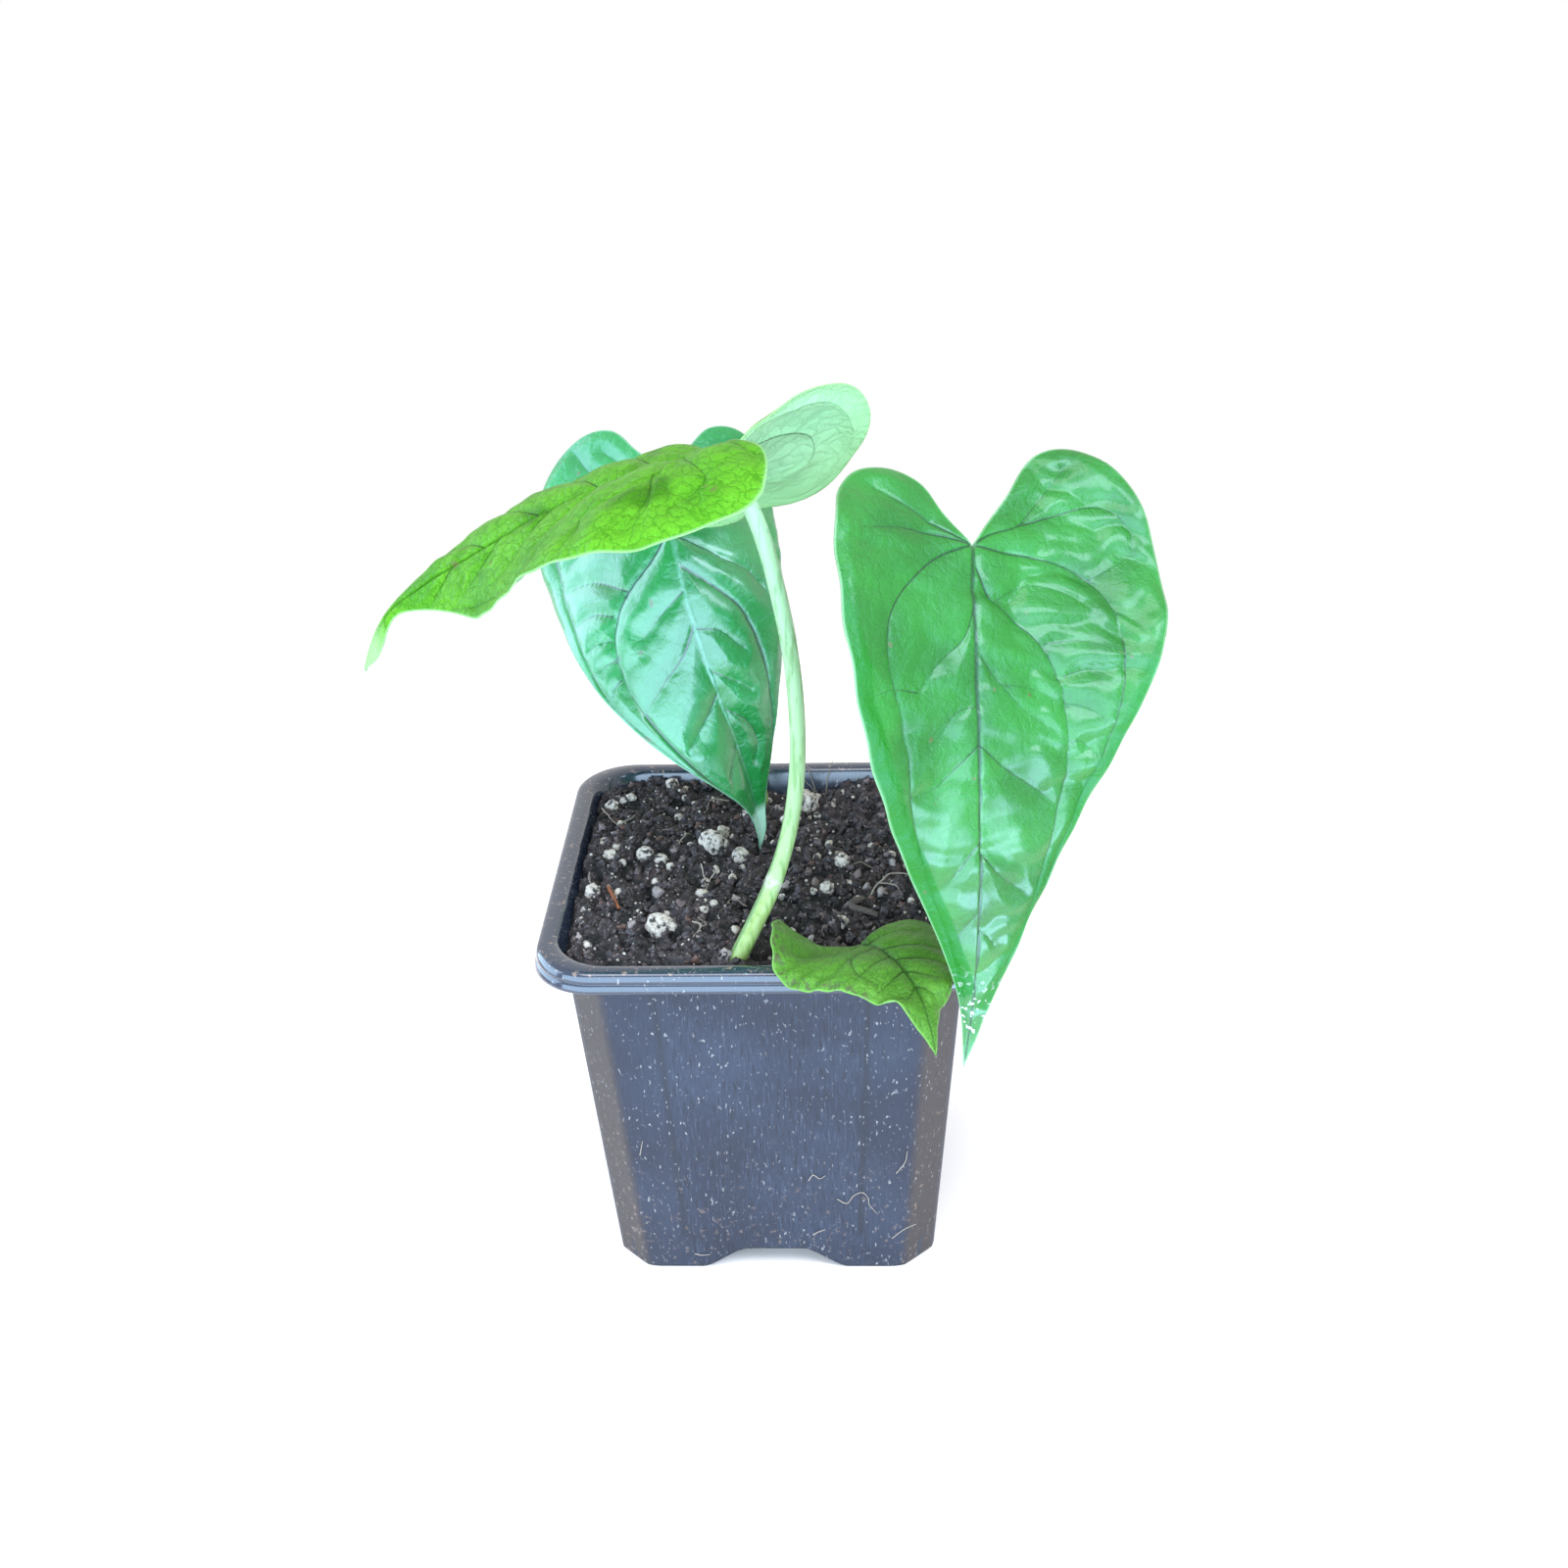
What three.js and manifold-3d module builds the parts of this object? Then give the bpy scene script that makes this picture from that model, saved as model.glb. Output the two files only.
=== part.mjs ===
// A potted monstera membranacea: a square nursery pot, its soil, four leaf blades and their petioles.
// Millimetres, +Z up, +X to the right and -Y towards the front. The pot stands on z = 0.

import * as THREE from "three";
import Module from "manifold-3d";
import { mergeVertices } from "three/addons/utils/BufferGeometryUtils.js";

const wasm = await Module();
wasm.setup();

// Pot
const potHeight = 80;
const rimHalf = 45;
const rimLipHeight = 4.4;
const baseHalf = 33.5;
const wallTopHalf = 39.5;
const openingHalf = 40.2;
const wall = 1;
const baseCorner = 9.5;
const topCorner = 11;
const rimRound = 1.2;
const footArchWidth = 30;
const footArchTopWidth = 12.5;
const footArchHeight = 4.7;
const drainRadius = 3;
const drainOffset = 17;

// Soil, filled to just under the rim
const gap = 0.3;
const soilLevel = 77.5;
const soilRelief = 1.3;
const soilCell = 2.6;
const perliteSeeded = 12;
const perliteSpots = [
  [-12.2, 8.2, 5.6], [-10.8, 14.3, 3], [-6.4, 2.7, 3.5], [6.6, 26.4, 5.2], [3.7, 18.7, 4],
  [-20.6, -24.8, 5.2], [-26.7, 5, 3.6], [-23.5, 36, 3.3], [-36, 27, 2.8], [-32.3, 29.9, 2.2],
  [-36, 10.3, 2.6], [-34, 4.6, 3], [-36, -10.9, 3.2], [-13.4, -12, 2.8], [12, -9.4, 2.8],
  [14.8, 0.6, 3.4], [15.1, -20.9, 2.8], [-22.9, 1.9, 2.8],
];

// Leaves
const bladeThickness = 0.8;
const outlineRows = 27;
const outlineColumns = 6;
const standardHalfWidth = 0.35;
const lobeReach = 0.17;
const droopStart = 0.84;
const rowSlant = 0.45;

// Half a leaf, flat: [along the midrib, out from it], as shares of the midrib's length.
// It runs from the petiole round the basal lobe to the drip tip.
const halfOutline = [
  [0, 0], [-0.078, 0.065], [-0.15, 0.125], [-0.165, 0.21], [-0.11, 0.295], [0.03, 0.345],
  [0.2, 0.33], [0.38, 0.265], [0.55, 0.18], [0.72, 0.095], [0.86, 0.035], [0.95, 0.012], [1, 0],
];
const lobeBackPoint = 2;
const taperedPoints = { 9: 0.5, 10: 1 };
const dripTipPoint = 11;

// Each half has its width and lobe length against the standard half, and how far its lobe lifts.
// fold is the half's slope from the face, and curl its turn out to the standard half width,
// in degrees at the midrib's base, middle and tip. Taper narrows it before the drip tip, whose own
// width is dripTip, and droop is how far the tip hangs from the midrib's curve.
const leaves = [
  {
    name: "leaf_right",
    midrib: [[40, -24, 158], [40, -53, 130.5], [43.5, -51, 96.5], [38, -57.5, 67.5]],
    faceAtBase: [0.47, -0.88, -0.03],
    faceAtTip: [-0.06, -0.61, 0.79],
    droop: [0, 0, 0],
    dripTip: 1,
    left: {
      width: 0.88, lobe: 0.71, lift: 0.07, lobeFold: -11, taper: 1,
      fold: [-7, 5, -26], curl: [9, 33, -6],
    },
    right: {
      width: 1.14, lobe: 1.39, lift: -0.43, lobeFold: 10, taper: 1,
      fold: [3, -22, -17], curl: [21, 25, -43],
    },
    colour: 0x2c9a3c,
    petiole: "stem_right",
  },
  {
    name: "leaf_back",
    midrib: [[-19.5, 19.5, 158], [-15.5, -11.5, 132.5], [-2, 3, 104], [-2.5, 5.8, 78.7]],
    faceAtBase: [-0.01, -0.97, 0.25],
    faceAtTip: [0.5, -0.59, 0.63],
    droop: [0, 0, 0],
    dripTip: 1.8,
    left: {
      width: 1.16, lobe: 1.12, lift: 0.24, lobeFold: 0, taper: 1,
      fold: [-32, -1, 56], curl: [7, -42, 4],
    },
    right: {
      width: 0.97, lobe: 0.88, lift: 0.05, lobeFold: 11, taper: 1,
      fold: [-33, 13, 7], curl: [-36, -74, 6],
    },
    colour: 0x2a8a4a,
    petiole: "stem_back",
  },
  {
    name: "leaf_high",
    midrib: [[-6.5, -23, 173], [-9.7, -22, 169], [-16.2, -20.5, 183], [-80, -4.2, 133.5]],
    faceAtBase: [-0.44, 0.04, 0.9],
    faceAtTip: [-0.6, -0.55, 0.57],
    droop: [1, 0, -8],
    dripTip: 2.2,
    left: {
      width: 1.35, lobe: 1.44, lift: -0.18, lobeFold: -6, taper: 0.5,
      fold: [6, 2, -29], curl: [-57, -95, -9],
    },
    right: {
      width: 1.28, lobe: 1.32, lift: -1.32, lobeFold: -19, taper: 0.5,
      fold: [50, -11, -39], curl: [-74, 36, 68],
    },
    colour: 0x6cc936,
    petiole: "stem_high",
  },
  {
    name: "leaf_rim",
    midrib: [[19, -33.5, 79.7], [28, -44.5, 84.4], [31.5, -61.5, 84.8], [33, -61, 72.6]],
    faceAtBase: [-0.12, -0.15, 0.98],
    faceAtTip: [0.31, -0.63, -0.71],
    droop: [0, 0, 0],
    dripTip: 1,
    left: {
      width: 1.69, lobe: 1.47, lift: -1.47, lobeFold: 24, taper: 1,
      fold: [-1, 35, -32], curl: [37, -31, 134],
    },
    right: {
      width: 1.41, lobe: 0.21, lift: -0.13, lobeFold: -58, taper: 1,
      fold: [18, -9, -41], curl: [-53, -39, -12],
    },
    colour: 0x4c9c2a,
    petiole: "stem_rim",
  },
];

// Petioles: points from the foot in the soil up towards the blade. The last stretch, the approach, runs
// square to the blade's back and ends at meetAt from its middle surface.
const stemSides = 12;
const stemTipShrink = 0.62;
const grooveDepth = 0.1;
const grooveWidth = 0.5;
const approach = 7;
const stems = [
  {
    name: "stem_high",
    route: [
      [-13, -31, 58], [-5.1, -35.5, 77.4], [2.2, -29.6, 91.2],
      [6, -27, 104], [7.6, -25.6, 121], [5.8, -24.7, 144],
    ],
    footRadius: 1.72, topRadius: 1.6, steps: 26, grooveAngle: -20, colour: 0xa6dc88, meetAt: 0.75,
    sheathEnd: 0.36, sheathFlare: 0.06,
  },
  {
    name: "stem_right",
    route: [[27, 2, 58], [32.5, 0.5, 75], [37.5, -4, 105], [38, -8, 135]],
    footRadius: 2, topRadius: 1.5, steps: 20, grooveAngle: 90, colour: 0xa6dc88, meetAt: 0.85,
    sheathEnd: 0.3, sheathFlare: 0.14,
  },
  {
    name: "stem_back",
    route: [[-1, 28, 58], [-4, 33.5, 76], [-10, 35, 100], [-16, 32, 130]],
    footRadius: 2, topRadius: 1.5, steps: 20, grooveAngle: 90, colour: 0xa6dc88, meetAt: 1.6,
    sheathEnd: 0.3, sheathFlare: 0.14,
  },
  {
    name: "stem_rim",
    route: [[19, -16, 63], [20.5, -22, 72]],
    footRadius: 1.4, topRadius: 1.1, steps: 8, grooveAngle: 90, colour: 0xa6dc88, meetAt: 0.85,
    sheathEnd: 0.2, sheathFlare: 0.1,
  },
];

// Small helpers

const vector = (list) => new THREE.Vector3(...list);
const clamp = THREE.MathUtils.clamp;
const degrees = THREE.MathUtils.degToRad;

let randomState = 20240;
function random() {
  randomState = (Math.imul(randomState, 1664525) + 1013904223) >>> 0;
  return randomState / 4294967296;
}

function meshGeometry(positions, triangles) {
  const geometry = new THREE.BufferGeometry();
  geometry.setAttribute("position", new THREE.Float32BufferAttribute(positions, 3));
  geometry.setIndex(triangles);
  return geometry;
}

function toSolid(geometry) {
  const bare = geometry.clone();
  bare.deleteAttribute("normal");
  bare.deleteAttribute("uv");
  const merged = mergeVertices(bare, 1e-4);
  const vertProperties = new Float32Array(merged.attributes.position.array);
  const triVerts = new Uint32Array(merged.index.array);
  return new wasm.Manifold(new wasm.Mesh({ numProp: 3, vertProperties, triVerts }));
}

function toGeometry(solid) {
  const mesh = solid.getMesh();
  return meshGeometry(Array.from(mesh.vertProperties), Array.from(mesh.triVerts));
}

// Rings of equal point count, listed from one end of a solid to the other, become its skin.
function loftRings(rings) {
  const count = rings[0].length;
  const positions = rings.flat().flatMap((p) => [p.x, p.y, p.z]);
  const triangles = [];
  for (let r = 0; r < rings.length - 1; r++) {
    for (let k = 0; k < count; k++) {
      const next = (k + 1) % count;
      const a = r * count + k;
      const b = r * count + next;
      triangles.push(a, b, b + count, a, b + count, a + count);
    }
  }
  const last = (rings.length - 1) * count;
  for (let k = 1; k < count - 1; k++) {
    triangles.push(0, k + 1, k);
    triangles.push(last, last + k, last + k + 1);
  }
  return meshGeometry(positions, triangles);
}

// Pot

function roundedSquare(half, corner, z, cornerSteps = 5) {
  const ring = [];
  for (let quarter = 0; quarter < 4; quarter++) {
    const turn = (quarter * Math.PI) / 2;
    const centre = new THREE.Vector2(half - corner, half - corner).rotateAround(new THREE.Vector2(), turn);
    for (let k = 0; k <= cornerSteps; k++) {
      const angle = turn + (k / cornerSteps) * (Math.PI / 2);
      const out = new THREE.Vector2(corner, 0).rotateAround(new THREE.Vector2(), angle).add(centre);
      ring.push(new THREE.Vector3(out.x, out.y, z));
    }
  }
  return ring;
}

function outerPot() {
  const lipFoot = potHeight - rimLipHeight;
  return loftRings([
    roundedSquare(baseHalf, baseCorner, 0),
    roundedSquare(wallTopHalf, topCorner, lipFoot),
    roundedSquare(rimHalf - 0.5, topCorner + 1.2, lipFoot),
    roundedSquare(rimHalf, topCorner + 1.5, lipFoot + 0.6),
    roundedSquare(rimHalf, topCorner + 1.5, potHeight - rimRound),
    roundedSquare(rimHalf - 0.35 * rimRound, topCorner + 1.3, potHeight - 0.35 * rimRound),
    roundedSquare(rimHalf - rimRound, topCorner + 0.9, potHeight),
  ]);
}

// The room inside the pot's walls, taken in by an inset, up past the rim
function potRoom(inset) {
  const lipFoot = potHeight - rimLipHeight;
  const top = openingHalf - inset;
  return loftRings([
    roundedSquare(baseHalf - wall - inset, baseCorner - wall, wall + inset),
    roundedSquare(wallTopHalf - wall - inset, topCorner - wall, lipFoot),
    roundedSquare(top, topCorner - wall, potHeight - rimRound),
    roundedSquare(top + 0.4 * rimRound, topCorner - wall, potHeight - 0.3 * rimRound),
    roundedSquare(top + rimRound, topCorner - wall, potHeight),
    roundedSquare(top + rimRound, topCorner - wall, potHeight + 10),
  ]);
}

// The two crossing arches that part the base into four corner feet, grown by a wall
function archCross(grow) {
  const foot = footArchWidth / 2 + grow;
  const crown = footArchTopWidth / 2 + grow;
  const height = footArchHeight + grow;
  const shape = new THREE.Shape();
  shape.moveTo(-foot, -5);
  shape.lineTo(foot, -5);
  shape.lineTo(foot, 0);
  shape.bezierCurveTo(foot - 4, 0.3, crown + 3, height, crown, height);
  shape.lineTo(-crown, height);
  shape.bezierCurveTo(-crown - 3, height, -foot + 4, 0.3, -foot, 0);
  const length = 4 * baseHalf;
  const along = new THREE.ExtrudeGeometry(shape, { depth: length, bevelEnabled: false, curveSegments: 4 });
  along.rotateX(Math.PI / 2);
  along.translate(0, length / 2, 0);
  const across = along.clone().rotateZ(Math.PI / 2);
  return toSolid(along).add(toSolid(across));
}

function drainHoles() {
  const spots = [[0, 0], [drainOffset, 0], [-drainOffset, 0], [0, drainOffset], [0, -drainOffset]];
  const holes = spots.map(([x, y]) => {
    const hole = new THREE.CylinderGeometry(drainRadius, drainRadius, 30, 16);
    hole.rotateX(Math.PI / 2);
    hole.translate(x, y, 0);
    return toSolid(hole);
  });
  return wasm.Manifold.union(holes);
}

function buildPot() {
  const room = toSolid(potRoom(0)).subtract(archCross(wall));
  const shell = toSolid(outerPot()).subtract(archCross(0)).subtract(room);
  return toGeometry(shell.subtract(drainHoles()));
}

// Soil

// Smooth value noise from a whole-number hash of the cell's corners
function cornerValue(i, j) {
  let h = Math.imul(i + 512, 374761393) + Math.imul(j + 512, 668265263);
  h = Math.imul(h ^ (h >>> 13), 1274126177);
  return ((h ^ (h >>> 16)) >>> 0) / 4294967296;
}

function noise(x, y, cell) {
  const u = x / cell;
  const v = y / cell;
  const i = Math.floor(u);
  const j = Math.floor(v);
  const fu = u - i;
  const fv = v - j;
  const low = cornerValue(i, j) * (1 - fu) + cornerValue(i + 1, j) * fu;
  const high = cornerValue(i, j + 1) * (1 - fu) + cornerValue(i + 1, j + 1) * fu;
  return low * (1 - fv) + high * fv - 0.5;
}

// Hollows pressed in the surface: [x, y, radius, depth]
const soilHollows = [[3, 38, 10, 3.4], [1, -31, 4.5, 3], [19, -31, 15, 2.2], [30, -25, 9, 1.8]];

function soilHeight(x, y) {
  let height = soilLevel;
  height += soilRelief * noise(x, y, 2 * soilCell) + 0.5 * soilRelief * noise(x + 40, y, soilCell);
  for (const [cx, cy, radius, depth] of soilHollows) {
    height -= depth * Math.exp(-((x - cx) ** 2 + (y - cy) ** 2) / (radius * radius));
  }
  return height;
}

function soilBlock() {
  const cells = Math.ceil((2 * openingHalf) / soilCell);
  const side = cells * soilCell;
  const positions = [];
  const belowPot = () => -2;
  for (const height of [soilHeight, belowPot]) {
    for (let j = 0; j <= cells; j++) {
      for (let i = 0; i <= cells; i++) {
        const x = -side / 2 + i * soilCell;
        const y = -side / 2 + j * soilCell;
        positions.push(x, y, height(x, y));
      }
    }
  }
  const row = cells + 1;
  const under = row * row;
  const triangles = [];
  for (let j = 0; j < cells; j++) {
    for (let i = 0; i < cells; i++) {
      const a = j * row + i;
      triangles.push(a, a + 1, a + row + 1, a, a + row + 1, a + row);
    }
  }
  const rim = [];
  for (let i = 0; i < cells; i++) rim.push(i);
  for (let j = 0; j < cells; j++) rim.push(j * row + cells);
  for (let i = cells; i > 0; i--) rim.push(cells * row + i);
  for (let j = cells; j > 0; j--) rim.push(j * row);
  rim.forEach((a, k) => {
    const b = rim[(k + 1) % rim.length];
    triangles.push(a, a + under, b + under, a, b + under, b);
    if (k > 0 && k < rim.length - 1) triangles.push(rim[0] + under, b + under, a + under);
  });
  return meshGeometry(positions, triangles);
}

function perliteLump(x, y, width) {
  const lump = new THREE.IcosahedronGeometry(width / 2, 0);
  lump.scale(1, 0.8 + 0.3 * random(), 0.75 + 0.2 * random());
  lump.rotateZ(2 * Math.PI * random());
  lump.translate(x, y, soilHeight(x, y) + 0.05 * width);
  return toSolid(lump);
}

function perliteLumps() {
  const lumps = perliteSpots.map(([x, y, width]) => perliteLump(x, y, width));
  while (lumps.length < perliteSpots.length + perliteSeeded) {
    const x = 70 * (random() - 0.5);
    const y = 70 * (random() - 0.5);
    const width = 1.6 + 1.6 * random();
    const underLeaf = x > 0 && y < -14;
    if (!underLeaf) lumps.push(perliteLump(x, y, width));
  }
  return wasm.Manifold.union(lumps);
}

function buildSoil(stemHoles) {
  const filling = toSolid(soilBlock()).add(perliteLumps());
  const fitted = filling.intersect(toSolid(potRoom(gap))).subtract(archCross(wall + gap));
  return toGeometry(fitted.subtract(stemHoles));
}

// Leaves

// The half's outline at a place counted in its points, as a smooth curve through them
function outlineAt(half, dripTip, place) {
  const points = halfOutline.map(([along, out], k) => {
    const widened = k === dripTipPoint ? out * dripTip : out;
    const narrowed = widened * (1 - (taperedPoints[k] ?? 0) * (1 - half.taper));
    return new THREE.Vector2(along < 0 ? along * half.lobe : along, narrowed * half.width);
  });
  const k = Math.min(Math.floor(place), points.length - 2);
  const t = place - k;
  const before = points[k - 1] ?? points[0].clone().multiplyScalar(2).sub(points[1]);
  const after = points[k + 2] ?? points.at(-1).clone().multiplyScalar(2).sub(points.at(-2));
  const blend = (axis) => {
    const [p0, p1, p2, p3] = [before[axis], points[k][axis], points[k + 1][axis], after[axis]];
    const linear = 2 * p1 + (p2 - p0) * t;
    return 0.5 * (linear + (2 * p0 - 5 * p1 + 4 * p2 - p3) * t * t + (3 * p1 - p0 - 3 * p2 + p3) * t ** 3);
  };
  return [blend("x"), Math.max(blend("y"), 0)];
}

// The outer ends of a half's rows. The first row runs up the sinus side to the back of the lobe.
function rowPlace(i) {
  return lobeBackPoint + (i / (outlineRows - 1)) * (halfOutline.length - 1 - lobeBackPoint);
}

// How far the rows near the sinus bow out to follow its edge, at a share t of their length
function sinusBow(half, dripTip, i, t) {
  const share = Math.max(1 - (rowPlace(i) - lobeBackPoint), 0) ** 2;
  const [edgeAlong, edgeOut] = outlineAt(half, dripTip, lobeBackPoint * t);
  const [backAlong, backOut] = outlineAt(half, dripTip, lobeBackPoint);
  return [share * (edgeAlong - backAlong * t), share * (edgeOut - backOut * t)];
}

// A value given at the base, the middle and the tip, as a smooth curve through the three
function throughThree([base, middle, tip], u) {
  return base * (1 - u) * (1 - 2 * u) + 4 * middle * u * (1 - u) + tip * u * (2 * u - 1);
}

// Where the flat point (along, out) of one half lies in space
function bladePoint(leaf, half, sign, curve, along, out) {
  const length = curve.getLength();
  const u = clamp(along, 0, 1);
  const tangent = curve.getTangentAt(u);
  const face = vector(leaf.faceAtBase).lerp(vector(leaf.faceAtTip), u);
  const up = face.sub(tangent.clone().multiplyScalar(face.dot(tangent))).normalize();
  const side = new THREE.Vector3().crossVectors(up, tangent).multiplyScalar(sign);
  const point = curve.getPointAt(u);
  const drooping = clamp((u - droopStart) / (1 - droopStart), 0, 1);
  point.addScaledVector(vector(leaf.droop), drooping ** 2);
  const back = Math.min(along, 0) * length;
  point.addScaledVector(tangent, back).addScaledVector(up, (half.lift * back * back) / length);
  const lobe = clamp(-along / lobeReach, 0, 1.2);
  const slope = degrees(throughThree(half.fold, u) + half.lobeFold * lobe);
  const bend = degrees(throughThree(half.curl, u)) / (standardHalfWidth * length) + 1e-5;
  const reach = Math.max(out, 1e-9) * length;
  const end = slope + bend * reach;
  point.addScaledVector(side, (Math.sin(end) - Math.sin(slope)) / bend);
  return point.addScaledVector(up, (Math.cos(slope) - Math.cos(end)) / bend);
}

// A blade's middle surface as points and triangles, with the loop of points round its margin
function bladeSurface(leaf) {
  const curve = new THREE.CubicBezierCurve3(...leaf.midrib.map(vector));
  curve.arcLengthDivisions = 400;
  const ends = (half) => Array.from({ length: outlineRows }, (_, i) => outlineAt(half, leaf.dripTip, rowPlace(i)));
  const margins = { left: ends(leaf.left), right: ends(leaf.right) };
  const roots = margins.left.map(([along, out], i) => {
    const [otherAlong, otherOut] = margins.right[i];
    return clamp((along + otherAlong - rowSlant * (out + otherOut)) / 2, 0, 1);
  });
  const points = [];
  const triangles = [];
  const known = new Map();
  const last = outlineRows - 1;
  const add = (key, make) => {
    if (!known.has(key)) {
      known.set(key, points.length);
      points.push(make());
    }
    return known.get(key);
  };
  const place = (side, i, j) => {
    const half = leaf[side];
    const sign = side === "right" ? 1 : -1;
    const [marginAlong, marginOut] = margins[side][i];
    const t = j / (outlineColumns - 1);
    const point = (along, out) => () => bladePoint(leaf, half, sign, curve, along, out);
    if (j === 0 && roots[i] === 0) return add("base", point(0, 0));
    if (i === last) return add("tip", point(1, 0));
    if (j === 0) return add(`midrib ${i}`, point(roots[i], 0));
    const [bowAlong, bowOut] = sinusBow(half, leaf.dripTip, i, t);
    const along = roots[i] + (marginAlong - roots[i]) * t + bowAlong;
    return add(`${side} ${i} ${j}`, point(along, Math.max(marginOut * t + bowOut, 0)));
  };
  const loop = { left: [], right: [] };
  for (const side of ["left", "right"]) {
    for (let i = 0; i < last; i++) {
      for (let j = 0; j < outlineColumns - 1; j++) {
        const near = [place(side, i, j), place(side, i + 1, j)];
        const far = [place(side, i, j + 1), place(side, i + 1, j + 1)];
        const pair = [[near[0], far[0], far[1]], [near[0], far[1], near[1]]];
        for (const [a, b, c] of pair) {
          if (a === b || b === c || c === a) continue;
          triangles.push(...(side === "right" ? [a, c, b] : [a, b, c]));
        }
      }
    }
    for (let j = 0; j < outlineColumns - 1; j++) loop[side].push(place(side, 0, j));
    for (let i = 0; i <= last; i++) loop[side].push(place(side, i, outlineColumns - 1));
  }
  const margin = [...loop.right, ...loop.left.slice(1, -1).reverse()];
  return { points, triangles, margin };
}

// Both faces of a blade share one split into triangles, and a wall closes its margin.
function buildLeaf(leaf) {
  const { points, triangles, margin } = bladeSurface(leaf);
  const normals = points.map(() => new THREE.Vector3());
  for (let k = 0; k < triangles.length; k += 3) {
    const [a, b, c] = triangles.slice(k, k + 3);
    const edge = points[b].clone().sub(points[a]);
    const normal = edge.cross(points[c].clone().sub(points[a]));
    for (const corner of [a, b, c]) normals[corner].add(normal);
  }
  const positions = [];
  for (const offset of [bladeThickness / 2, -bladeThickness / 2]) {
    points.forEach((point, k) => {
      const moved = point.clone().addScaledVector(normals[k].clone().normalize(), offset);
      positions.push(moved.x, moved.y, moved.z);
    });
  }
  const count = points.length;
  const skin = triangles.slice();
  for (let k = 0; k < triangles.length; k += 3) {
    skin.push(triangles[k] + count, triangles[k + 2] + count, triangles[k + 1] + count);
  }
  margin.forEach((a, k) => {
    const b = margin[(k + 1) % margin.length];
    skin.push(a, b, b + count, a, b + count, a + count);
  });
  return meshGeometry(positions, skin);
}

// Petioles

// The point behind a blade's base where its petiole ends, and the way the blade faces there
function bladeBack(leaf, distance) {
  const curve = new THREE.CubicBezierCurve3(...leaf.midrib.map(vector));
  const tangent = curve.getTangentAt(0);
  const face = vector(leaf.faceAtBase);
  const up = face.sub(tangent.multiplyScalar(face.dot(tangent))).normalize();
  return vector(leaf.midrib[0]).addScaledVector(up, -distance);
}

function stemRings(stem, grow) {
  const leaf = leaves.find((candidate) => candidate.petiole === stem.name);
  const route = stem.route.map(vector);
  route.push(bladeBack(leaf, approach + stem.meetAt), bladeBack(leaf, stem.meetAt));
  const curve = new THREE.CatmullRomCurve3(route);
  const frames = curve.computeFrenetFrames(stem.steps, false);
  const rings = [];
  for (let i = 0; i <= stem.steps; i++) {
    const s = i / stem.steps;
    const centre = curve.getPointAt(s);
    const shrink = i === stem.steps ? stemTipShrink : 1;
    const aboveSheath = THREE.MathUtils.smoothstep(s, 0.8 * stem.sheathEnd, stem.sheathEnd);
    const sheath = 1 + stem.sheathFlare * (1 - aboveSheath);
    const radius = (stem.footRadius + (stem.topRadius - stem.footRadius) * s) * shrink * sheath;
    const ring = [];
    for (let k = 0; k < stemSides; k++) {
      const angle = (2 * Math.PI * k) / stemSides;
      const turn = angle - degrees(stem.grooveAngle);
      const fromGroove = Math.atan2(Math.sin(turn), Math.cos(turn));
      const grooved = 1 - grooveDepth * Math.exp(-((fromGroove / grooveWidth) ** 2));
      const point = centre.clone();
      point.addScaledVector(frames.normals[i], Math.cos(angle) * (radius * grooved + grow));
      ring.push(point.addScaledVector(frames.binormals[i], Math.sin(angle) * (radius * grooved + grow)));
    }
    rings.push(ring);
  }
  return rings;
}

// The hole in the soil follows the petiole, a little wider, and reaches a little past both ends.
function stemHole(stem) {
  const rings = stemRings(stem, gap);
  const shifted = (ring, rise) => ring.map((point) => point.clone().setZ(point.z + rise));
  return toSolid(loftRings([shifted(rings[0], -2 * gap), ...rings, shifted(rings.at(-1), 2)]));
}

// Assembly

const plant = new THREE.Group();

function addPart(name, geometry, colour, roughness) {
  geometry.computeVertexNormals();
  const material = new THREE.MeshStandardMaterial({ color: colour, roughness, metalness: 0 });
  const mesh = new THREE.Mesh(geometry, material);
  mesh.name = name;
  plant.add(mesh);
}

addPart("pot", buildPot(), 0x4a5468, 0.45);
addPart("soil", buildSoil(wasm.Manifold.union(stems.map(stemHole))), 0x3a2d2b, 0.95);
for (const leaf of leaves) addPart(leaf.name, buildLeaf(leaf), leaf.colour, 0.35);
for (const stem of stems) addPart(stem.name, loftRings(stemRings(stem, 0)), stem.colour, 0.5);

// The origin is under the middle of the whole plant's bounding box, on the plane that the pot stands on.
const box = new THREE.Box3().setFromObject(plant);
const middle = box.getCenter(new THREE.Vector3());
plant.position.set(-middle.x, -middle.y, 0);

export default plant;
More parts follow.
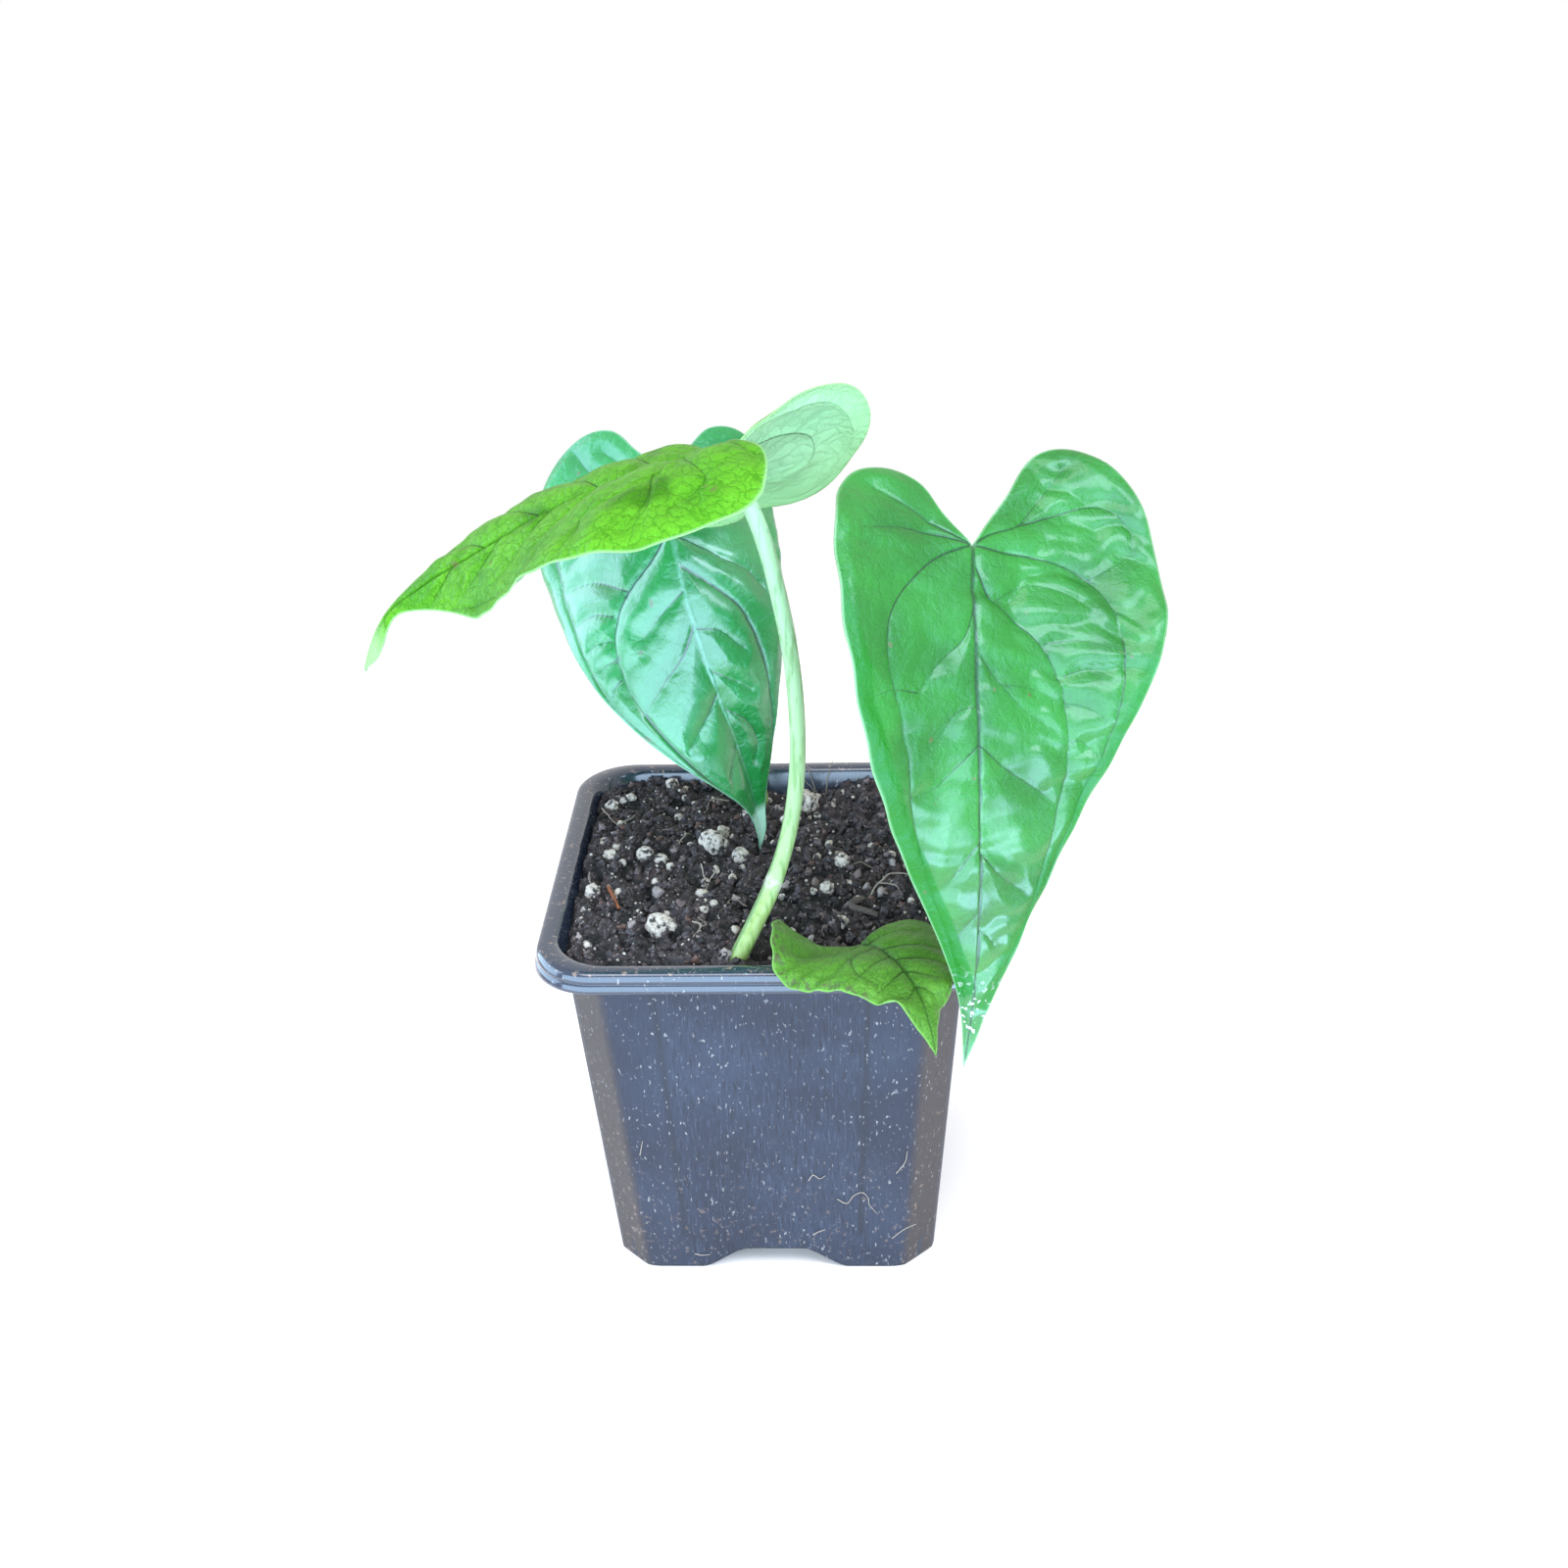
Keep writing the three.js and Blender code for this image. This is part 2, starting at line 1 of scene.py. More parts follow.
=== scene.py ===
import bpy
import numpy as np
from mathutils import Matrix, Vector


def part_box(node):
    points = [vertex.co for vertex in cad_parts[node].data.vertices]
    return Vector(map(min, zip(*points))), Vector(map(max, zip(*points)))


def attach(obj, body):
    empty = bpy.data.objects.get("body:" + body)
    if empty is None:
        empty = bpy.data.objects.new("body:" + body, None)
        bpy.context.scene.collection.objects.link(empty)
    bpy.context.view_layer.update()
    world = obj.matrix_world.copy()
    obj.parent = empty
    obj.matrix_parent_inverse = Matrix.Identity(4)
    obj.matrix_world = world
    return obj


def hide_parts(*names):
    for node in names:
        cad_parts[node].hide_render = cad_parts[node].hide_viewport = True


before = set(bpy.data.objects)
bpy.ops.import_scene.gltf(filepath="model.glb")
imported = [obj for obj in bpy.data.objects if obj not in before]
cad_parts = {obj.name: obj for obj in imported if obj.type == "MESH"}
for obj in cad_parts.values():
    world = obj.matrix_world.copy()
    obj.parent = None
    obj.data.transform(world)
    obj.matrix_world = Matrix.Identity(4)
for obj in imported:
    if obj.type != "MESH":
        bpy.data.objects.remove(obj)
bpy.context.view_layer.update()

# Measures below are in millimetres from the pot's centre on the table, X right, Y back, Z up.
mm = 0.001
potLow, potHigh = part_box("pot")
potCentre = np.array([potLow.x + potHigh.x, potLow.y + potHigh.y, 0.0]) / 2


def toScene(points):
    # Millimetres from the pot's centre to the scene's metres
    return np.asarray(points, float) * mm + potCentre


# Camera: an ordinary phone view from the front and above, the pot turned a few degrees.
camera = {
    "place": (24.5, -389.2, 301.1),
    "down": 27.6,    # degrees below the horizon
    "yaw": 3.1,
    "roll": -2.0,
    "lens": 49.5,
}


def addCamera(values):
    # It looks along Y turned by yaw, then down, then rolls about its own axis
    data = bpy.data.cameras.new("photoCamera")
    data.lens = values["lens"]
    data.sensor_width = 36
    data.clip_start = 0.01
    down, yaw, roll = np.radians([values["down"], values["yaw"], values["roll"]])
    right = np.array([np.cos(yaw), np.sin(yaw), 0])
    level = np.array([-np.sin(yaw), np.cos(yaw), 0])
    ahead = level * np.cos(down) - np.array([0, 0, np.sin(down)])
    up = np.cross(right, ahead)
    rolledRight = right * np.cos(roll) + up * np.sin(roll)
    rolledUp = up * np.cos(roll) - right * np.sin(roll)
    turn = Matrix(np.stack([rolledRight, rolledUp, -ahead], 1).tolist())
    thing = bpy.data.objects.new("photoCamera", data)
    thing.matrix_world = Matrix.Translation(toScene(values["place"])) @ turn.to_4x4()
    bpy.context.scene.collection.objects.link(thing)
    bpy.context.scene.camera = thing


addCamera(camera)
print("camera set")


# Small helpers for nodes, noise and meshes

# The studio light is about twice as strong as paper white, so paints are that much darker
paintDepth = 0.45


def colourOf(hexCode, depth=paintDepth):
    # sRGB hex to the linear colour that nodes take
    srgb = np.array([int(hexCode[k:k + 2], 16) for k in (1, 3, 5)]) / 255
    linear = np.where(srgb <= 0.04045, srgb / 12.92, ((srgb + 0.055) / 1.055) ** 2.4)
    return (*(depth * linear).tolist(), 1.0)


def addNode(tree, kind, settings=None, values=None, links=None):
    made = tree.nodes.new("ShaderNode" + kind)
    for name, value in (settings or {}).items():
        setattr(made, name, value)
    for name, value in (values or {}).items():
        made.inputs[name].default_value = value
    for name, socket in (links or {}).items():
        tree.links.new(socket, made.inputs[name])
    return made


def newMaterial(name):
    # A fresh material, its node tree and its main shader
    material = bpy.data.materials.new(name)
    material.use_nodes = True
    return material, material.node_tree, material.node_tree.nodes["Principled BSDF"]


def mixColours(tree, share, first, second):
    # first and second are sockets, hex codes or linear colours, share is a socket or a number
    values, links = {}, {}
    for key, thing in ((0, share), (6, first), (7, second)):
        if isinstance(thing, str):
            values[key] = colourOf(thing)
        elif isinstance(thing, (float, tuple)):
            values[key] = thing
        else:
            links[key] = thing
    return addNode(tree, "Mix", {"data_type": "RGBA"}, values, links).outputs[2]


def ranged(tree, socket, low, high, toLow=0.0, toHigh=1.0):
    # Carries low to high over evenly to toLow to toHigh, and holds it there outside
    values = {"From Min": low, "From Max": high, "To Min": toLow, "To Max": toHigh}
    return addNode(tree, "MapRange", {}, values, {"Value": socket}).outputs[0]


def calculated(tree, operation, first, second):
    # One step of arithmetic: first is a socket, second a socket or a number
    values, links = {}, {0: first}
    if isinstance(second, float):
        values[1] = second
    else:
        links[1] = second
    return addNode(tree, "Math", {"operation": operation}, values, links).outputs[0]


def times(tree, first, second):
    # The product of a socket and another socket or a number
    return calculated(tree, "MULTIPLY", first, second)


def perMetre(size):
    return 1000.0 / size    # texture scale for a pattern of this size in millimetres


def objectSpot(tree):
    # Where the shaded point lies on the object, in metres
    return addNode(tree, "TexCoord").outputs["Object"]


def stretched(tree, spot, upright):
    # Coordinates whose height counts for less, so that a pattern is drawn out along Z
    return addNode(tree, "Mapping", {}, {"Scale": (1, 1, upright)}, {"Vector": spot}).outputs[0]


def noise(tree, spot, size, detail, roughness=0.5):
    # Cloudy pattern, 0 to 1, whose forms are about this size in millimetres
    values = {"Scale": perMetre(size), "Detail": detail, "Roughness": roughness}
    return addNode(tree, "TexNoise", {}, values, {"Vector": spot}).outputs["Fac"]


def masksOf(tree, names):
    # The numbers that a mesh carries at its points, by name
    return {name: addNode(tree, "Attribute", {"attribute_name": name}).outputs["Fac"] for name in names}


def layered(tree, base, layers):
    # Coats of colour, each laid over the ones before it as far as its share shows
    for share, colour in layers:
        base = mixColours(tree, share, base, colour)
    return base


def bumped(tree, height, strength, depth, below=None):
    # A bump of this depth in millimetres, laid over another one where it is given
    links = {"Height": height}
    if below is not None:
        links["Normal"] = below
    return addNode(tree, "Bump", {}, {"Strength": strength, "Distance": depth * mm}, links).outputs[0]


def dress(tree, shader, links, plain):
    # Links the sockets that vary over the surface and sets those that are the same all over
    for name, socket in links.items():
        tree.links.new(socket, shader.inputs[name])
    for name, value in plain.items():
        shader.inputs[name].default_value = value


wordMask = 0xFFFFFFFF    # 32 bits


def mixedBits(h):
    # Folds and multiplies the bits of whole numbers into numbers from 0 to 1
    h = ((h ^ (h >> 13)) * 1274126177) & wordMask
    return (h ^ (h >> 16)) / (wordMask + 1)


def hashed(cells, seed):
    # A repeatable number from 0 to 1 for each whole-number cell, by mixing its indices
    h = seed * 144665 & wordMask
    for axis, factor in zip(np.moveaxis(cells, -1, 0), (374761393, 668265263, 2246822519)):
        h = (h + axis.astype(np.int64) * factor) & wordMask
    return mixedBits(h)


def smoothStep(t):
    # Eases from 0 to 1: 3 t squared less 2 t cubed
    return t * t * (3 - 2 * t)


def upTo(value, full):
    # Rises evenly from 0 at nought to 1 at full
    return np.clip(value / full, 0, 1)


def noiseAt(points, cell, seed=1):
    # Value noise: random corner values of a lattice, blended smoothly inside each cell, -0.5 to 0.5
    spot = np.asarray(points, float) / cell
    low = np.floor(spot).astype(np.int64)
    part = smoothStep(spot - low)
    total = 0
    axes = spot.shape[-1]
    for corner in range(2 ** axes):
        step = np.array([(corner >> k) & 1 for k in range(axes)])
        weight = np.prod(np.where(step == 1, part, 1 - part), axis=-1)
        total = total + weight * hashed(low + step, seed)
    return total - 0.5


def meshObject(name, points, faces, material, values=None, flatMap=None):
    # A smooth-shaded piece that rides on the root: points in mm from the pot's centre, faces as rows
    # of three indices, values as one number per point, and the flat map in mm where there is one
    faces = np.asarray(faces, np.int32)
    mesh = bpy.data.meshes.new(name)
    mesh.vertices.add(len(points))
    mesh.vertices.foreach_set("co", toScene(points).ravel())
    mesh.loops.add(faces.size)
    mesh.loops.foreach_set("vertex_index", faces.ravel())
    mesh.polygons.add(len(faces))
    mesh.polygons.foreach_set("loop_start", np.arange(len(faces)) * faces.shape[1])
    mesh.polygons.foreach_set("use_smooth", np.full(len(faces), True))
    for key, numbers in (values or {}).items():
        layer = mesh.attributes.new(key, "FLOAT", "POINT")
        layer.data.foreach_set("value", np.asarray(numbers, np.float32))
    if flatMap is not None:
        layer = mesh.uv_layers.new(name="flat")
        layer.data.foreach_set("uv", np.asarray(flatMap, np.float32)[faces.ravel()].ravel())
    mesh.update(calc_edges=True)
    mesh.validate()
    mesh.materials.append(material)
    thing = bpy.data.objects.new(name, mesh)
    bpy.context.scene.collection.objects.link(thing)
    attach(thing, "root")
    return thing


def closedFaces(rows, around):
    # Triangles of a closed tube of points: rows along it, each with the same count around, then one
    # point that closes the first row and one that closes the last
    k = np.arange(around)
    after = (k + 1) % around
    a = np.arange(rows - 1)[:, None] * around + k
    b = np.arange(rows - 1)[:, None] * around + after
    a, b = a.ravel(), b.ravel()
    last, foot = (rows - 1) * around, rows * around
    return np.vstack([
        np.stack([a, b, b + around], 1), np.stack([a, b + around, a + around], 1),
        np.stack([after, k, np.full(around, foot)], 1),
        np.stack([last + k, last + after, np.full(around, foot + 1)], 1),
    ])


def unit(vectors):
    # Each vector over its own length
    return vectors / np.maximum(np.linalg.norm(vectors, axis=-1, keepdims=True), 1e-12)


def smoothThrough(points, count):
    # A count of places spread evenly over the points
    return smoothAt(points, np.linspace(0, len(points) - 1, count))


def smoothAt(points, places):
    # A smooth curve through the points: a cubic on each span, whose slope at a point is half of what
    # lies between its two neighbours. Past the ends it goes on in a straight line.
    p = np.asarray(points, float)
    k = np.minimum(places.astype(int), len(p) - 2)
    t = (places - k)[:, None]
    padded = np.vstack([2 * p[0] - p[1], p, 2 * p[-1] - p[-2]])
    a, b, c, d = (padded[k + n] for n in range(4))
    square = 2 * a - 5 * b + 4 * c - d
    cubic = 3 * b - a - 3 * c + d
    return 0.5 * (2 * b + (c - a) * t + square * t**2 + cubic * t**3)


slanted = (0.31, 0.87, 0.38)    # a direction that no path runs along


def tube(path, radii, sides):
    # A tube round a path: each ring is square to the path, and both ends are closed by a point
    path = np.asarray(path, float)
    ahead = unit(np.gradient(path, axis=0))
    first = unit(np.cross(ahead, slanted))
    second = np.cross(ahead, first)
    angle = np.linspace(0, 2 * np.pi, sides, endpoint=False)
    radii = np.asarray(radii, float)
    if radii.ndim == 1:
        radii = radii[:, None]
    out = np.cos(angle)[:, None] * first[:, None] + np.sin(angle)[:, None] * second[:, None]
    rings = path[:, None] + out * (radii * np.ones(sides))[..., None]
    points = np.vstack([rings.reshape(-1, 3), path[:1], path[-1:]])
    return points, closedFaces(len(path), sides)


def joined(parts):
    # Several (points, triangles, values) as one, values being one number per point
    offset, allPoints, allFaces, allValues = 0, [], [], []
    for points, faces, values in parts:
        allPoints.append(points)
        allFaces.append(faces + offset)
        allValues.append(np.broadcast_to(values, len(points)))
        offset += len(points)
    return np.vstack(allPoints), np.vstack(allFaces), np.concatenate(allValues)


# Pot: injection-moulded polypropylene, slate grey, with thin walls, browner corner facets, four feet
# with an arch in each wall between them, and a rolled lip
pot = {
    "height": 80.0, "rimHalf": 45.0, "lipFoot": 75.6, "baseHalf": 33.5, "wallTopHalf": 39.5,
    "openingHalf": 40.2, "wall": 1.0, "baseCorner": 9.5, "topCorner": 11.0, "cornerGrowth": 1.5,
    "archHeight": 4.7, "archCrown": 6.25, "archFoot": 15.0,
    "drainRadius": 3.0, "drainOffset": 17.0, "drainSides": 24,
    "sideSteps": 36, "cornerSteps": 14, "facet": 25.0,    # half angle of the flat corner facet
    "rows": {"under": 22, "wall": 44, "inside": 18, "floor": 14},
    # The lip's half width and height, from its outer foot over the top to its inner edge
    "lipProfile": [
        (41.5, 75.6), (44.5, 75.6), (44.85, 75.75), (45, 76.1), (44.93, 76.5), (44.8, 77.0),
        (44.68, 77.4), (44.5, 77.55), (44.42, 77.7), (44.6, 77.85), (44.68, 78.0), (44.58, 78.5),
        (44.42, 79.0), (44.25, 79.4), (43.9, 79.75), (43.3, 79.95), (42.2, 80), (41.4, 79.95),
        (40.8, 79.7), (40.4, 79.3), (40.25, 78.8),
    ],
    "facetEdge": 26.5, "facetLean": 4.8 / 68,    # where a facet starts near the foot, and its slope
    "panelLines": (-20.0, 19.2),    # thin creases in the front and back walls, at mid height
    "lineWidth": 0.6, "lineSplay": 0.0022, "lineFoot": 9.0, "panelHalf": 19.5,
    "dragSize": 0.34, "dragStretch": 0.02, "fleckSize": 0.6, "fleckStretch": 0.45,
    "cloudSize": 26, "patchSize": 9, "crumbSize": 1.5,
    "body": "#384359", "bodyDark": "#283044", "mark": "#20242f", "scratch": "#6d7b93",
    # crease is the painted shade of the wall's creases
    "lip": "#2c3a50", "facetTint": "#4d4340", "crease": "#262b36", "dust": "#bdbab8",
    "soilDust": "#a58d80",
}


def potMaterial(values):
    # Moulded polypropylene: the eye gets it from fine upright drag marks on a dull skin, dust that
    # lies thick in some patches and rare in others, and a smoother lip that catches the light
    material, tree, shader = newMaterial("polypropyleneMoulded")
    spot = objectSpot(tree)
    mask = masksOf(tree, ("facet", "crease", "grime", "lip", "panel"))
    drag = noise(tree, stretched(tree, spot, values["dragStretch"]), values["dragSize"], 3.0, 0.6)
    fleck = noise(tree, stretched(tree, spot, values["fleckStretch"]), values["fleckSize"], 2.5)
    cloud = noise(tree, spot, values["cloudSize"], 3.0)
    patch = noise(tree, spot, values["patchSize"], 2.0)
    grainy = noise(tree, spot, values["crumbSize"], 4.0, 0.65)
    dusty = times(tree, ranged(tree, fleck, 0.65, 0.69), ranged(tree, patch, 0.42, 0.6, 0.25, 1.0))
    base = mixColours(tree, ranged(tree, cloud, 0.35, 0.65), values["bodyDark"], values["body"])
    base = layered(tree, base, [
        (times(tree, mask["facet"], 0.9), values["facetTint"]),
        (times(tree, mask["lip"], 0.9), values["lip"]),
        (times(tree, ranged(tree, drag, 0.43, 0.37, 0.0, 0.65), mask["panel"]), values["mark"]),
        (times(tree, ranged(tree, drag, 0.58, 0.68, 0.0, 0.3), mask["panel"]), values["scratch"]),
        # Painted shade along the creases
        (times(tree, mask["crease"], 0.75), values["crease"]),
        (times(tree, ranged(tree, grainy, 0.6, 0.66), mask["grime"]), values["soilDust"]),
        (dusty, values["dust"]),
    ])
    plainRough = ranged(tree, mask["lip"], 0.0, 1.0, 0.5, 0.16)
    rough = calculated(tree, "ADD", plainRough, times(tree, dusty, 0.4))
    scored = bumped(tree, times(tree, drag, mask["panel"]), 0.4, 0.15)
    normal = bumped(tree, dusty, 0.5, 0.3, scored)
    links = {"Base Color": base, "Roughness": rough, "Coat Weight": mask["lip"], "Normal": normal}
    dress(tree, shader, links, {"Coat Roughness": 0.12, "IOR": 1.45})
    return material


def squareRings(half, corner, cut, values):
    # Rounded squares, one a row. cut 0 to 1 flattens the middle of each corner into a facet.
    half, corner, cut = (np.asarray(v, float)[:, None] for v in (half, corner, cut))
    straight = np.linspace(0, 1, values["sideSteps"], endpoint=False)
    turn = np.radians(np.linspace(0, 90, values["cornerSteps"] + 1))
    facet = np.radians(values["facet"])
    off = turn - np.pi / 4
    flat = np.where(abs(off) < facet, np.cos(facet) / np.cos(off), 1.0)
    radius = corner * (1 + cut * (flat - 1))
    up = np.stack([half + 0 * straight, (half - corner) * straight], -1)
    circle = np.stack([np.cos(turn), np.sin(turn)], -1)
    arc = (half - corner)[..., None] + radius[..., None] * circle
    across = np.stack([(half - corner) * (1 - straight), half + 0 * straight], -1)[:, 1:]
    quarter = np.concatenate([up, arc, across], 1)
    x, y = quarter[..., 0], quarter[..., 1]
    return np.concatenate([quarter, np.stack([-y, x], -1), -quarter, np.stack([y, -x], -1)], 1)


def archHeight(x, y, values):
    # The two crossing arches under the pot: each rises from its foot to its crown in a smooth step
    def one(distance):
        s = upTo(abs(distance) - values["archCrown"], values["archFoot"] - values["archCrown"])
        return values["archHeight"] * (1 - (s + smoothStep(s)) / 2)
    return np.maximum(one(x), one(y))


def potRows(values):
    # One closed skin: from the middle of the underside out, up the wall, over the rolled lip, down
    # the inside and back in over the floor. Each row: half width, corner, facet, level, arch.
    low, high = values["baseHalf"], values["wallTopHalf"]
    lipFoot, wall, growth = values["lipFoot"], values["wall"], values["cornerGrowth"]
    baseCorner, topCorner, counts = values["baseCorner"], values["topCorner"], values["rows"]
    rows = []
    for k in np.linspace(0.04, 1, counts["under"]):
        rows.append((low * k, baseCorner * k, 1, 0, 1))
    for t in np.linspace(0.01, 1, counts["wall"]):
        corner = baseCorner + (topCorner - baseCorner) * t
        rows.append((low + (high - low) * t, corner, 1, lipFoot * t, 1 - t))
    for half, level in values["lipProfile"]:
        outwards = (half - high) / (values["rimHalf"] - high)
        rows.append((half, topCorner + growth * outwards, 0, level, 0))
    for t in np.linspace(1, 0, counts["inside"]):
        inner = low - wall + (high - low) * t
        rows.append((inner, baseCorner - wall + growth * t, 1, wall + (lipFoot - wall) * t, 1 - t))
    for k in np.linspace(0.97, 0.04, counts["floor"]):
        rows.append(((low - wall) * k, (baseCorner - wall) * k, 1, wall, 1))
    return np.array(rows).T


def buildPot(values):
    # Height = the row's level + its share of the arches' height
    half, corner, cut, level, arch = potRows(values)
    rings = squareRings(half, corner, cut, values)
    height = level[:, None] + arch[:, None] * archHeight(rings[..., 0], rings[..., 1], values)
    points = np.concatenate([rings, height[..., None]], -1).reshape(-1, 3)
    crown = values["archHeight"]
    points = np.vstack([points, [[0, 0, crown], [0, 0, crown + values["wall"]]]])
    return points, closedFaces(len(half), rings.shape[1])


def potValues(points, values):
    # Colour masks worked out from where each point lies on the pot
    x, y, z = points.T
    near = np.minimum(abs(x), abs(y))
    below = z < values["lipFoot"] - 0.5
    outside = np.maximum(abs(x), abs(y)) > values["baseHalf"] - 3
    start = values["facetEdge"] + values["facetLean"] * (z - 3)
    facet = upTo(near - start, 1.2) * below * outside
    grime = upTo(z - 79.0, 0.4) + 0.6 * np.clip(1.1 - z / 34, 0, 1) * below + 0.35 * facet
    lip = upTo(z - values["lipFoot"], 0.3)
    # Painted shade: a faint dark line down each crease of the front and back walls, where the wall's form
    # has no fold
    crease = np.zeros(len(points))
    facing = below * (abs(y) > abs(x)) * (z > values["lineFoot"])
    for line in values["panelLines"]:
        at = line * (1 + values["lineSplay"] * (z - values["height"] / 2))
        crease = np.maximum(crease, np.exp(-(((x - at) / values["lineWidth"]) ** 2)) * facing)
    # Drag marks are stronger on the flat of a wall than towards its corners
    panel = np.where(near < values["panelHalf"], 1.0, 0.4) * below + 0.1
    return {"facet": facet, "grime": np.clip(grime, 0, 1), "lip": lip, "crease": crease, "panel": panel}


potPoints, potFaces = buildPot(pot)
potSkin = potMaterial(pot)
potPiece = meshObject("nurseryPot", potPoints, potFaces, potSkin)


def drainCutter(values):
    # Five upright pegs that cut the drain holes: one in the middle and one under each wall
    parts = []
    for x, y in ((0, 0), (1, 0), (-1, 0), (0, 1), (0, -1)):
        foot = np.array([x, y, 0]) * values["drainOffset"]
        path = foot + np.array([[0, 0, -3], [0, 0, 0], [0, 0, 12]])
        points, faces = tube(path, [values["drainRadius"]] * 3, values["drainSides"])
        parts.append((points, faces, 0))
    points, faces, _ = joined(parts)
    return meshObject("drainCutter", points, faces, potSkin)


def cutHoles(piece, cutter):
    # Takes the cutter's volume away from the piece, then drops the cutter
    cut = piece.modifiers.new("drain", "BOOLEAN")
    cut.operation = "DIFFERENCE"
    cut.solver = "EXACT"
    cut.object = cutter
    view = bpy.context.evaluated_depsgraph_get()
    mesh = bpy.data.meshes.new_from_object(piece.evaluated_get(view))
    piece.modifiers.clear()
    piece.data = mesh
    bpy.data.objects.remove(cutter)


cutHoles(potPiece, drainCutter(pot))


def setValues(piece, maker, values):
    # Gives the cut mesh its masks, worked out from its final points
    mesh = piece.data
    flat = np.empty(len(mesh.vertices) * 3)
    mesh.vertices.foreach_get("co", flat)
    points = (flat.reshape(-1, 3) - potCentre) / mm
    for key, numbers in maker(points, values).items():
        mesh.attributes.new(key, "FLOAT", "POINT").data.foreach_set("value", numbers.astype(np.float32))


setValues(potPiece, potValues, pot)
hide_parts("pot")
print("pot made")


# Soil: peat-based potting mix. Dark moist crumbs 0.7 to 3 mm wide with a faint wet sheen.
soil = {
    "level": 77.5, "relief": 1.3, "cell": 2.6, "gap": 0.95, "cornerGap": 1.2, "steps": 290,
    "hollows": [(3, 38, 10, 3.4), (1, -31, 4.5, 3), (19, -31, 15, 2.2), (30, -25, 9, 1.8)],
    # Each size of crumb: its width, how far it stands up and its share of the tone
    "crumbSizes": [(3.4, 2.3, 0.5), (1.8, 1.5, 0.3), (0.9, 0.8, 0.2)],
    "domeReach": 0.78, "warp": 1.6, "warpCell": 1.3,
    "edgeFrom": 0.97, "edgeDrop": 0.8,
    "skirt": [(74, 0.955), (40, 0.885), (6.2, 0.81)], "skirtShade": 0.2,    # height and share of width
    "grainSize": 0.7, "clumpSize": 9,
    # darkest also paints the shade in the hollows, and brown, bark and pale show only on the lit tops of
    # crumbs
    "darkest": "#060405", "dark": "#352b2f", "brown": "#77625f", "bark": "#5a3a33", "pale": "#cbb8b5",
}


def cadCorner(i, j):
    # The same whole-number hash as the solid's, so the fine surface rolls as the solid does
    return mixedBits(((i + 512) * 374761393 + (j + 512) * 668265263) & wordMask)


def cadNoise(x, y, cell):
    # Corner values of a square lattice, blended evenly along both sides of a cell, -0.5 to 0.5
    u, v = x / cell, y / cell
    i, j = np.floor(u).astype(np.int64), np.floor(v).astype(np.int64)
    fu, fv = u - i, v - j
    low = cadCorner(i, j) * (1 - fu) + cadCorner(i + 1, j) * fu
    high = cadCorner(i, j + 1) * (1 - fu) + cadCorner(i + 1, j + 1) * fu
    return low * (1 - fv) + high * fv - 0.5


def soilBase(x, y, values):
    # Rolling ground: level + two sizes of noise - a bell-shaped hollow round each listed place
    height = values["level"] + values["relief"] * cadNoise(x, y, 2 * values["cell"])
    height = height + 0.5 * values["relief"] * cadNoise(x + 40, y, values["cell"])
    for cx, cy, radius, depth in values["hollows"]:
        height = height - depth * np.exp(-((x - cx) ** 2 + (y - cy) ** 2) / radius**2)
    return height


def nearestCrumb(x, y, cell, seed):
    # One crumb centre at a random place in each square cell: how far off the nearest is, and its tone
    i, j = np.floor(x / cell).astype(np.int64), np.floor(y / cell).astype(np.int64)
    best, tone = np.full(x.shape, 9.0), np.zeros(x.shape)
    for di in (-1, 0, 1):
        for dj in (-1, 0, 1):
            here = np.stack([i + di, j + dj], -1)
            cx = (i + di + hashed(here, seed)) * cell
            cy = (j + dj + hashed(here, seed + 1)) * cell
            distance = np.hypot(x - cx, y - cy) / cell
            closer = distance < best
            best = np.where(closer, distance, best)
            tone = np.where(closer, hashed(here, seed + 2), tone)
    return best, tone


def soilSurface(x, y, values):
    # Domes of three sizes on the rolling ground. Each crumb's own tone sets its colour and height, and its
    # shade value is painted lighter towards the dome's top, where light falls.
    spots = np.stack([x, y], -1)
    warpX = x + values["warp"] * noiseAt(spots, values["warpCell"], 5)
    warpY = y + values["warp"] * noiseAt(spots, values["warpCell"], 6)
    ground = soilBase(x, y, values)
    height, shade = ground, np.zeros(x.shape)
    for n, (width, stand, weight) in enumerate(values["crumbSizes"]):
        distance, tone = nearestCrumb(warpX, warpY, width, 20 + 7 * n)
        dome = np.sqrt(np.clip(1 - (distance / values["domeReach"]) ** 2, 0, 1))
        height = height + stand * (dome * (0.3 + 0.7 * tone) - 0.4)
        shade = shade + tone * weight * (0.35 + 0.65 * dome)
    # Painted shade: the shade value falls with height, so the hollows between crumbs come out nearly black
    return height, shade * np.clip(0.55 + 0.45 * (height - ground), 0.05, 1.4)


